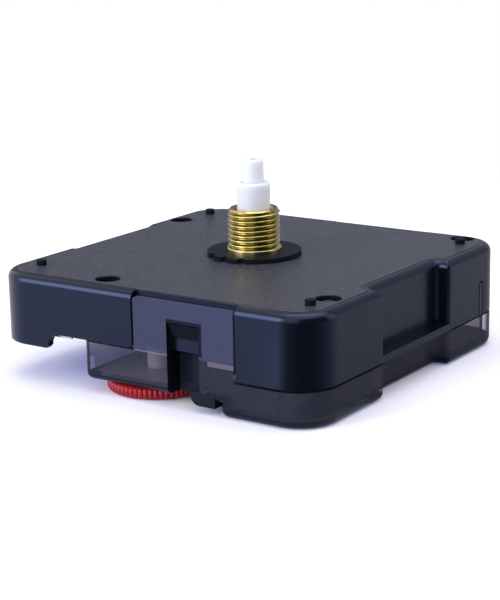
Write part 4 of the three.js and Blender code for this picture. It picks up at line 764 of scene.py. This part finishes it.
stake_places = [(22.5, -25.2), (22.5, -8.9)]
board_posts = [(-6.4, 20.4), (17.2, 20.4), (21.7, -4.6)]
stator_rest = (ROTOR_AXIS[0] + 2.2, ROTOR_AXIS[1] - 6.2)
cover_bosses = together(
    [boss(1.3, MIDDLE_PLATE_FOOT - END_GAP, place) for place in POST_PLACES]
    + [boss(1.0, 3.9), boss(1.4, 2.6, INTERMEDIATE_AXIS), boss(1.4, 2.3, ROTOR_AXIS), boss(1.4, 4.0, THIRD_AXIS),
       boss(0.7, STATOR_FOOT - END_GAP, stator_rest)]
    + [boss(0.9, STATOR_FOOT - END_GAP, place) for place in stake_places]
    + [boss(1.3, BOARD_FOOT - END_GAP, place) for place in board_posts])
cover_stakes = together([boss(0.5, 6.9, place, 24, 0.2) for place in stake_places]
                        + [boss(0.5, 8.25, place, 24, 0.2) for place in board_posts])
cover_bores = together([pin(0.55, 2.28, 4.5), pin(0.43, 1.18, 3.2, INTERMEDIATE_AXIS),
                        pin(0.4, 1.18, 2.9, ROTOR_AXIS), pin(0.43, 1.18, 4.6, THIRD_AXIS),
                        pin(1.65, POCKET_ROOF - CUT_OVERRUN, POCKET_FLOOR_TOP + CUT_OVERRUN, KNOB_AXIS)])
back_cover = carved("cover_moulding", shallow, [
    (JOIN, deep), (JOIN, lug), (CUT, upper_hollow), (CUT, lower_hollow),
    (JOIN, left_wall), (JOIN, end_walls), (JOIN, tab_feet), (JOIN, middle_feet),
    (JOIN, light_strips), (JOIN, tabs), (JOIN, channel_walls),
    (CUT, channel_space(-1, -CUT_OVERRUN, lug_left, POCKET_FLOOR_TOP + 0.1)),
    (CUT, channel_space(-1, POCKET_FLOOR_TOP)), (CUT, channel_space(1, COVER_FLOOR + COVER_FILLET)),
    (CUT, at_both_ends(window_bevel)),
    (JOIN, cover_bosses), (JOIN, cover_stakes), (CUT, cover_bores),
])


# Smoky polystyrene: a grey-violet tint that darkens with each wall the eye looks through, and more where it looks
# along the wall, under a clear hard gloss
def smoky_plastic(name, clear, steep, body_colour, milk, gloss_ior=1.15):
    """A see-through plastic. clear is its tint looked at squarely, and steep its tint looked at along the wall. milk
    is the share of light that it throws back itself, in the colour of its body, and gloss_ior sets how strongly its
    skin mirrors."""
    material, tree = new_material(name)
    place = add_node(tree, "TexCoord").outputs["Object"]
    flow = add_node(tree, "TexNoise", values={"Scale": 1000 / 7.0, "Detail": 2.0}, links={"Vector": place})
    flow_bump = add_node(tree, "Bump", values={"Strength": 0.2, "Distance": 0.00002}, links={"Height": flow})
    angle = add_node(tree, "LayerWeight", values={"Blend": 0.5})
    depth = add_node(tree, "ValToRGB", links={"Fac": angle.outputs["Facing"]},
                     ramp=((0.5, clear), (0.72, steep)))
    tint = add_node(tree, "BsdfTransparent", links={"Color": depth})
    body = add_node(tree, "BsdfPrincipled", links={"Normal": flow_bump},
                    values={"Base Color": linear(body_colour), "Roughness": 0.25, "IOR": 1.5,
                            "Specular IOR Level": 0.0})
    filled_tint = add_node(tree, "MixShader", values={0: milk}, links={1: tint, 2: body})
    polish = add_node(tree, "BsdfGlossy", values={"Roughness": 0.08, "Color": linear("#ffffff")},
                      links={"Normal": flow_bump})
    rim_light = add_node(tree, "Fresnel", values={"IOR": gloss_ior})
    side_seen = add_node(tree, "NewGeometry")
    outside = add_node(tree, "Math", {"operation": "SUBTRACT"}, {0: 1.0},
                       {1: side_seen.outputs["Backfacing"]})
    rim_share = add_node(tree, "Math", {"operation": "MULTIPLY"}, links={0: rim_light, 1: outside})
    whole = add_node(tree, "MixShader", links={0: rim_share, 1: filled_tint, 2: polish})
    add_node(tree, "OutputMaterial", links={"Surface": whole})
    return material


# Copies of the smoky plastic paint light and shade: lighter ones paint light on the latch tab, the channel's back and
# the pocket floor, and darker ones paint shade on the channel's side and on the rounded foot, the tray's corners and
# the lug.
for finish in (smoky_plastic("smoky_polystyrene", "#f8f4f6", "#44444c", "#4e515e", 0.25),
               smoky_plastic("smoky_latch_tab_painted_light", "#d2ced6", "#8a8a96", "#4f536a", 0.65),
               smoky_plastic("smoky_channel_side_painted_shade", "#3c3c44", "#1c1c22", "#14151c", 0.6),
               smoky_plastic("window_lip_painted_highlight", "#e2dee4", "#e2dee4", "#e2e4f2", 0.9),
               smoky_plastic("painted_light_strip", "#e2dee4", "#e2dee4", "#777280", 0.7),
               smoky_plastic("smoky_rounded_edge_painted_shade", "#44465a", "#20222c", "#1a1d2e", 0.6, 1.3),
               smoky_plastic("smoky_pocket_floor_painted_light", "#d2ced6", "#a8a4b0", "#b0b0be", 0.7),
               smoky_plastic("smoky_channel_back_painted_light", "#b8b4bc", "#8a8a96", "#2c2f40", 0.55)):
    back_cover.data.materials.append(finish)
middles, normals = face_places(back_cover.data)
x, y, z = middles.T
out = np.abs(y)
on_tab = between(x, TAB_LEFT - 0.1, TAB_RIGHT + 0.1) & (out > CASE_HALF - TAB_THICKNESS - 0.05) & (z > TRAY_WALL_FOOT)
channel_back = (np.abs(out - (CASE_HALF - CHANNEL_DEPTH)) < 0.05) & between(x, WINDOW_LEFT, WINDOW_RIGHT)
channel_side = (np.abs(x - WINDOW_LEFT) < 0.02) & (out > CASE_HALF - CHANNEL_DEPTH)
# The window's lip takes a whitish copy, a painted highlight along the bevel.
window_lip = between(out, CASE_HALF - 0.54, CASE_HALF - 0.02) & between(z, WINDOW_FOOT, WINDOW_TOP + 0.6)
window_lip &= between(np.abs(normals[:, 1]), 0.3, 0.95)
# The strips on the outer feet take a pale copy, a painted light strip.
light_strip_faces = between(x, *right_foot) & between(z, *LIGHT_STRIP_RIGHT) | between(x, *left_foot) & between(z, *LIGHT_STRIP_LEFT)
light_strip_faces &= np.abs(out - CASE_HALF) < 0.01
rounded_foot = between(normals[:, 2], -0.98, -0.05) & (z < 3.1)
corner_x, corner_y = TRAY_WALL_OUTER + COVER_CORNER, CASE_HALF - COVER_CORNER
left_corners = (np.hypot(x - corner_x, out - corner_y) > COVER_CORNER - 0.1) & (x < corner_x) & (out > corner_y)
left_corners &= np.abs(normals[:, 0]) < 0.98
lug_faces = between(x, lug_left - 0.1, DEEP_LEFT + 1.3) & (y < DEEP_BACK + 1.3) & (z < POCKET_FLOOR_TOP)
pocket_floor = (x < POCKET_EDGE + 1) & (y < POCKET_BACK + 1) & between(z, 1.5, 3.1)
pocket_floor &= np.abs(normals[:, 2]) > 0.98
# Each face takes the first of these finishes that fits it, and the plain smoky one if none does
finish_index = np.select([window_lip, channel_side, light_strip_faces, channel_back, on_tab,
                          rounded_foot | left_corners | lug_faces, pocket_floor],
                         [3, 2, 4, 7, 1, 5, 6], 0)
back_cover.data.polygons.foreach_set("material_index", finish_index.astype(np.int32))
shaded(back_cover)
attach(back_cover, "case")
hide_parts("back_cover")


# Threaded bush. Brass bar turned with a flange at its foot and a fine M8 thread, and opened out at its mouth. It is
# bedded in the plate, and a nut on it clamps the movement to the dial.
BUSH_RADIUS = 3.95
BUSH_BORE = 2.55
BUSH_TOP = 23.2
BUSH_PITCH = 0.75
THREAD_DEPTH = 0.46
FLANGE_TOP = 17.27
FLANGE_RADIUS = 4.14


def wrapped(radii, heights):
    """Closed skin from two grids, radii and heights, with one row for each point of a closed profile and one
    column for each angle: the point is (radius cos t, radius sin t, height)."""
    rows, columns = radii.shape
    t = np.arange(columns) * 2 * math.pi / columns
    points = np.stack((radii * np.cos(t), radii * np.sin(t), heights), axis=-1).reshape(-1, 3)
    row = np.arange(rows)[:, None]
    column = np.arange(columns)[None, :]
    after_row = (row + 1) % rows
    after_column = (column + 1) % columns
    faces = np.stack((row * columns + column, row * columns + after_column,
                      after_row * columns + after_column, after_row * columns + column), axis=-1)
    return points, faces.reshape(-1, 4).tolist()


def turned(profile, sides=96):
    """A turned piece from a closed profile of (radius, height) points that runs up its outside."""
    profile = np.asarray(profile, float)
    ones = np.ones((1, sides))
    return wrapped(profile[:, :1] * ones, profile[:, 1:] * ones)


# Each turn of the thread is a V between a root and a crest that each take the flat share of it. A part of each flank
# is eased into an S, 3 s squared - 2 s cubed, and the uppermost turn runs in to the mouth.
flat_share, eased, columns = 0.12, 0.35, 120
ones = np.ones((1, columns))
thread_heights = np.linspace(FLANGE_TOP, BUSH_TOP, 150)[:, None]
along = (thread_heights / BUSH_PITCH - np.arange(columns) / columns) % 1.0
flank = np.clip((np.abs(2 * along - 1) - flat_share) / (1 - 2 * flat_share), 0, 1)
flank = flank * flank * (3 - 2 * flank) * eased + flank * (1 - eased)
run_in = np.minimum(BUSH_RADIUS, BUSH_RADIUS - 0.42 + (BUSH_TOP - thread_heights) * 1.1)
thread = np.minimum(BUSH_RADIUS - THREAD_DEPTH * (1 - flank), run_in)
lower = np.array([(BUSH_BORE, PLATE_UNDERSIDE), (FLANGE_RADIUS, PLATE_UNDERSIDE), (FLANGE_RADIUS, FLANGE_TOP - 0.16),
                  (FLANGE_RADIUS - 0.05, FLANGE_TOP - 0.05), (FLANGE_RADIUS - 0.16, FLANGE_TOP)])
upper = np.array([(3.42, BUSH_TOP), (3.3, BUSH_TOP - 0.03), (3.1, BUSH_TOP - 0.2), (BUSH_BORE, BUSH_TOP - 0.7)])
bush = filled("brass_bush", *wrapped(np.vstack((lower[:, :1] * ones, thread, upper[:, :1] * ones)),
                                     np.vstack((lower[:, 1:] * ones, thread_heights * ones, upper[:, 1:] * ones))))

# Turned brass: a warm yellow metal, with fine rings left by the tool, and a darker colour in the thread's roots that
# paints the shade there
brass, tree = new_material("turned_brass")
place = add_node(tree, "TexCoord").outputs["Object"]
stretched = add_node(tree, "Mapping", values={"Scale": (60, 60, 6000)}, links={"Vector": place})
tool_marks = add_node(tree, "TexNoise", values={"Scale": 1.0, "Detail": 3.0}, links={"Vector": stretched})
mark_bump = add_node(tree, "Bump", values={"Strength": 0.1, "Distance": 0.000003},
                     links={"Height": tool_marks})
stain = add_node(tree, "TexNoise", values={"Scale": 1000 / 1.6, "Detail": 3.0}, links={"Vector": place})
tone = add_node(tree, "ValToRGB", links={"Fac": stain}, ramp=((0.3, "#c4b570"), (0.7, "#e4d896")))
# Towards the thread's roots the colour darkens, a painted shade.
flat = add_node(tree, "VectorMath", {"operation": "MULTIPLY"}, {1: (1, 1, 0)}, {0: place})
off_axis = add_node(tree, "VectorMath", {"operation": "LENGTH"}, links={0: flat})
crest_share = add_node(tree, "MapRange", links={"Value": off_axis.outputs["Value"]},
                 values={"From Min": (BUSH_RADIUS - THREAD_DEPTH) * METRES, "From Max": (BUSH_RADIUS - 0.2) * METRES})
painted_root_shade = add_node(tree, "Mix", {"data_type": "RGBA"}, {6: linear("#a8924c")}, {0: crest_share, 7: tone})
shader = add_node(tree, "BsdfPrincipled", values={"Metallic": 1.0, "Roughness": 0.22},
                  links={"Base Color": painted_root_shade.outputs[2], "Normal": mark_bump})
add_node(tree, "OutputMaterial", links={"Surface": shader})
bush.data.materials.append(brass)
shaded(bush, 50)
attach(bush, "case")
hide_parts("threaded_bushing")


# Hour wheel. One white acetal moulding: the tube that takes the hour hand, and inside the case the wheel that the
# motion work drives at one turn in twelve hours.
HOUR_TUBE_TOP = 27.1
HOUR_TUBE_RADIUS = 2.5
HOUR_TUBE_BORE = 1.65
TUBE_JOIN = 14.6
TUBE_OVERLAP = 0.2


def rounded_rim(radius, top, edge, steps=6):
    """Points over the outer top edge of a tube, along a quarter circle."""
    t = np.linspace(0, math.pi / 2, steps)
    return np.column_stack((radius - edge * (1 - np.cos(t)), top - edge * (1 - np.sin(t))))


def packed_below(node, height):
    """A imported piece's own surface below a height, with its doubled points joined, as points and faces."""
    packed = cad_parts[node]
    surface = bmesh.new()
    surface.from_mesh(packed.data)
    surface.transform(packed.matrix_world)
    bmesh.ops.remove_doubles(surface, verts=surface.verts, dist=1e-7)
    surface.verts.ensure_lookup_table()
    points = np.array([point.co[:] for point in surface.verts]) / METRES
    faces = [[point.index for point in face.verts] for face in surface.faces]
    surface.free()
    return taken_apart(carved("kept", (points, faces), [(KEEP, brick((-50, 50), (-50, 50), (-5, height)))]))


hour_tube = turned(np.vstack((
    [(HOUR_TUBE_BORE, TUBE_JOIN - TUBE_OVERLAP), (HOUR_TUBE_RADIUS, TUBE_JOIN - TUBE_OVERLAP)],
    rounded_rim(HOUR_TUBE_RADIUS, HOUR_TUBE_TOP, 0.34),
    [(HOUR_TUBE_BORE + 0.15, HOUR_TUBE_TOP), (HOUR_TUBE_BORE, HOUR_TUBE_TOP - 0.12)],
)))
hour_wheel = carved("hour_tube_and_wheel", packed_below("hour_wheel", TUBE_JOIN), [(JOIN, hour_tube)])

# White acetal: waxy and slightly see-through, so that its shaded side stays pale and its edges look soft
acetal = mottled("white_acetal", {"Scale": 1000 / 2.5, "Detail": 2.0}, ((0, "#eeeef0"), (1, "#f6f6f4")),
                 {"Roughness": 0.38, "IOR": 1.48, "Subsurface Weight": 1.0,
                  "Subsurface Radius": (0.9, 0.9, 1.0), "Subsurface Scale": 0.0025})
hour_wheel.data.materials.append(acetal)
shaded(hour_wheel, 40)
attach(hour_wheel, "hour")
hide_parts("hour_wheel")


# Minute arbor. A second white acetal tube runs up through the first. Below, a hub for the centre wheel's friction
# grip and a small pinion are moulded on it.
MINUTE_TUBE_TOP = 30.6
MINUTE_TUBE_RADIUS = 1.6
MINUTE_TIP_RADIUS = 1.5
MINUTE_TUBE_BORE = 0.6
minute_tube = turned(np.vstack((
    [(MINUTE_TUBE_BORE, TUBE_JOIN - TUBE_OVERLAP), (MINUTE_TUBE_RADIUS, TUBE_JOIN - TUBE_OVERLAP),
     (MINUTE_TUBE_RADIUS, HOUR_TUBE_TOP), (MINUTE_TUBE_RADIUS - 0.02, HOUR_TUBE_TOP + 0.4)],
    rounded_rim(MINUTE_TIP_RADIUS, MINUTE_TUBE_TOP, 0.3),
    [(MINUTE_TUBE_BORE + 0.15, MINUTE_TUBE_TOP), (MINUTE_TUBE_BORE, MINUTE_TUBE_TOP - 0.12)],
)), 80)
minute_arbor = carved("minute_tube_and_pinion", packed_below("minute_arbor", TUBE_JOIN), [(JOIN, minute_tube)])
minute_arbor.data.materials.append(acetal)
shaded(minute_arbor, 40)
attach(minute_arbor, "minute")
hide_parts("minute_arbor")


# Setting knob. A red disc with a rounded, serrated rim, moulded in one with the stem that carries the setting gear.
# A finger turns it under the back to set the hands.
KNOB_RADIUS = 7.5
KNOB_FOOT = 0.1
KNOB_TOP = 1.65
KNOB_RIBS = 60
RIB_DEPTH = 0.34
knob_columns = KNOB_RIBS * 8
rib = np.abs(np.sin(np.arange(knob_columns) * math.pi / 8)) ** 0.8
knob_profile = np.array([
    (0.001, 0.6), (5.0, 0.6), (5.15, 0.5), (5.25, 0.2), (5.4, KNOB_FOOT), (6.9, KNOB_FOOT),
    (7.2, 0.16), (7.42, 0.36), (KNOB_RADIUS, 0.62), (KNOB_RADIUS, 1.2), (7.42, 1.44), (7.25, 1.6),
    (6.95, KNOB_TOP), (1.6, KNOB_TOP), (1.6, 11.08), (1.2, 11.08), (1.2, 12.32), (0.8, 12.32), (0.8, 14.4),
    (0.65, 14.56), (0.001, 14.56)])
rib_share = np.clip((knob_profile[:, :1] - 6.6) / 0.8, 0, 1)
knob_points, knob_faces = wrapped(knob_profile[:, :1] - RIB_DEPTH * rib_share * (1 - rib),
                                  knob_profile[:, 1:] * np.ones((1, knob_columns)))
knob_points[:, :2] += KNOB_AXIS
knob = filled("red_knob", knob_points, knob_faces)

# Red ABS: an even, slightly cool red with a satin skin
red_abs = mottled("red_abs", {"Scale": 1000 / 0.4, "Detail": 2.0}, ((0, "#9e141f"), (1, "#b2202b")),
                  {"Roughness": 0.4, "IOR": 1.5}, relief=(0.2, 0.00002))
for finish in (red_abs, acetal):
    knob.data.materials.append(finish)
middles, normals = face_places(knob.data)
knob.data.polygons.foreach_set("material_index", (middles[:, 2] > KNOB_TOP + 0.05).astype(np.int32))
shaded(knob, 40)
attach(knob, "setting")
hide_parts("setting_knob")


# The wheels and the plate inside. The running wheels are natural acetal, the setting wheels a greyer one, and the
# middle plate is white polystyrene. They show only dimly through the cover.
def moulded_plastic(name, dark, light, roughness):
    """A moulded plastic whose tone drifts a little over a few millimetres, with a faint skin texture."""
    return mottled(name, {"Scale": 1000 / 3.0, "Detail": 3.0}, ((0, dark), (1, light)),
                   {"Roughness": roughness, "IOR": 1.48}, relief=(0.15, 0.00002),
                   skin={"Scale": 1000 / 0.5, "Detail": 2.0})


def dress(material, *nodes):
    """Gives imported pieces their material."""
    for node in nodes:
        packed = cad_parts[node]
        packed.data.materials.clear()
        packed.data.materials.append(material)


dress(moulded_plastic("natural_acetal", "#dcd6c4", "#ebe6d6", 0.42),
      "second_wheel", "rotor_pinion", "intermediate_wheel", "third_wheel", "centre_wheel")
dress(moulded_plastic("grey_acetal", "#cdcdd0", "#dededf", 0.42), "minute_wheel", "setting_gear")
dress(moulded_plastic("white_polystyrene", "#d3d1c8", "#e2e0d8", 0.5), "middle_plate")


# Steel arbor and pins, the iron of the motor, the crystal's can and the contacts. All are plain metal, ground,
# stamped, drawn or plated.
def plain_metal(name, dark, light, roughness, streak):
    """A bare metal with fine streaks along one direction; streak gives the pattern's scale along each axis."""
    return mottled(name, {"Scale": 1.0, "Detail": 3.0}, ((0, dark), (1, light)),
                   {"Metallic": 1.0, "Roughness": roughness}, relief=(0.2, 0.00001), stretch=streak)


nickel_strip = plain_metal("nickel_plated_strip", "#b8babc", "#d0d2d4", 0.26, (600, 600, 5000))
dress(plain_metal("ground_steel", "#a9acb0", "#c6c8cc", 0.28, (300, 300, 6000)),
      "second_arbor", "intermediate_pin", "third_pin", "minute_pin")
dress(plain_metal("stamped_iron", "#84878a", "#9a9ca0", 0.42, (900, 5000, 900)), "stator", "coil_core")
dress(plain_metal("drawn_can", "#bcc0c4", "#d4d6da", 0.24, (300, 5000, 5000)), "quartz_crystal")
dress(nickel_strip, "positive_contact", "coil_terminal_inner", "coil_terminal_outer")

# The negative contact's leaf is sprung towards the battery. It starts at 7.0 mm, as no more of it shows in the notch
# by the tray, and a run along the case's walls holds it.
STRIP_HALF = 0.15
leaf_foot, leaf_top, run_foot, run_top = 7.0, 11.6, 8.02, 9.8


def bent_strip(route, low, high, bend=0.5):
    """A strip set on edge that follows a plan route; each bend is a quadratic curve between its two sides."""
    route = np.asarray(route, float)
    path = [route[0]]
    for before, corner, after in zip(route[:-2], route[1:-1], route[2:]):
        enter = corner - bend * (corner - before) / np.linalg.norm(corner - before)
        leave = corner + bend * (after - corner) / np.linalg.norm(after - corner)
        share = np.linspace(0, 1, 7)[:, None]
        path += list((1 - share) ** 2 * enter + 2 * share * (1 - share) * corner + share ** 2 * leave)
    path = np.array(path + [route[-1]])
    way = np.gradient(path, axis=0)
    way /= np.linalg.norm(way, axis=1)[:, None]
    across = STRIP_HALF * np.column_stack((-way[:, 1], way[:, 0]))
    return upright(np.vstack((path - across, (path + across)[::-1])), low, high)


contact_low, contact_high = (np.array(corner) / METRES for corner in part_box("negative_contact"))
contact_line = contact_low[1] + STRIP_HALF
run_line = contact_high[0] - STRIP_HALF
leaf = bent_strip([(-19.69, contact_line + 1.9), (-20.796, contact_line), (-14.16, contact_line)],
                  leaf_foot, leaf_top)
run = bent_strip([(-14.66, contact_line), (run_line, contact_line), (run_line, contact_high[1])],
                 run_foot, run_top)
negative_strip = carved("sprung_contact", leaf, [(JOIN, run)])
negative_strip.data.materials.append(nickel_strip)
shaded(negative_strip)
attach(negative_strip, "case")
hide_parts("negative_contact")


# Rotor magnet. A small sintered drum with one north and one south pole, which carries the rotor's moulded pinion. It
# is dark and granular, with a dull metallic skin.
dress(mottled("sintered_magnet", {"Scale": 1000 / 0.25, "Detail": 4.0}, ((0, "#333234"), (1, "#4a494c")),
              {"Metallic": 0.5, "Roughness": 0.55}), "rotor_magnet")


# Coil. Several thousand turns of enamelled copper wire on a black bobbin, pushed on the iron core. The wire is far
# too fine to show, so its rounds are drawn about ten times as coarse.
dress(mottled("enamelled_copper_wire", {"Scale": 1000 / 0.35 / 20, "Distortion": 0.6, "Detail": 1.0},
              ((0, "#6e3418"), (1, "#b86236")), {"Metallic": 0.9, "Roughness": 0.36}, relief=(0.6, 0.00008),
              kind=("TexWave", {"bands_direction": "Y"})), "coil_winding")
dress(moulded_plastic("black_nylon", "#231e1c", "#2e2826", 0.5), "coil_bobbin")


# Circuit board. Brown paper laminate without solder mask, staked on three posts of the cover. The coil's pins and the
# crystal are soldered to it, and the chip is sealed under a blob of black epoxy.
dress(mottled("paper_laminate", {"Scale": 1000 / 0.8, "Detail": 5.0}, ((0, "#8a6a34"), (1, "#a88548")),
              {"Roughness": 0.55, "IOR": 1.5}), "circuit_board")
dress(moulded_plastic("black_epoxy", "#121215", "#1c1c20", 0.22), "chip_cap")
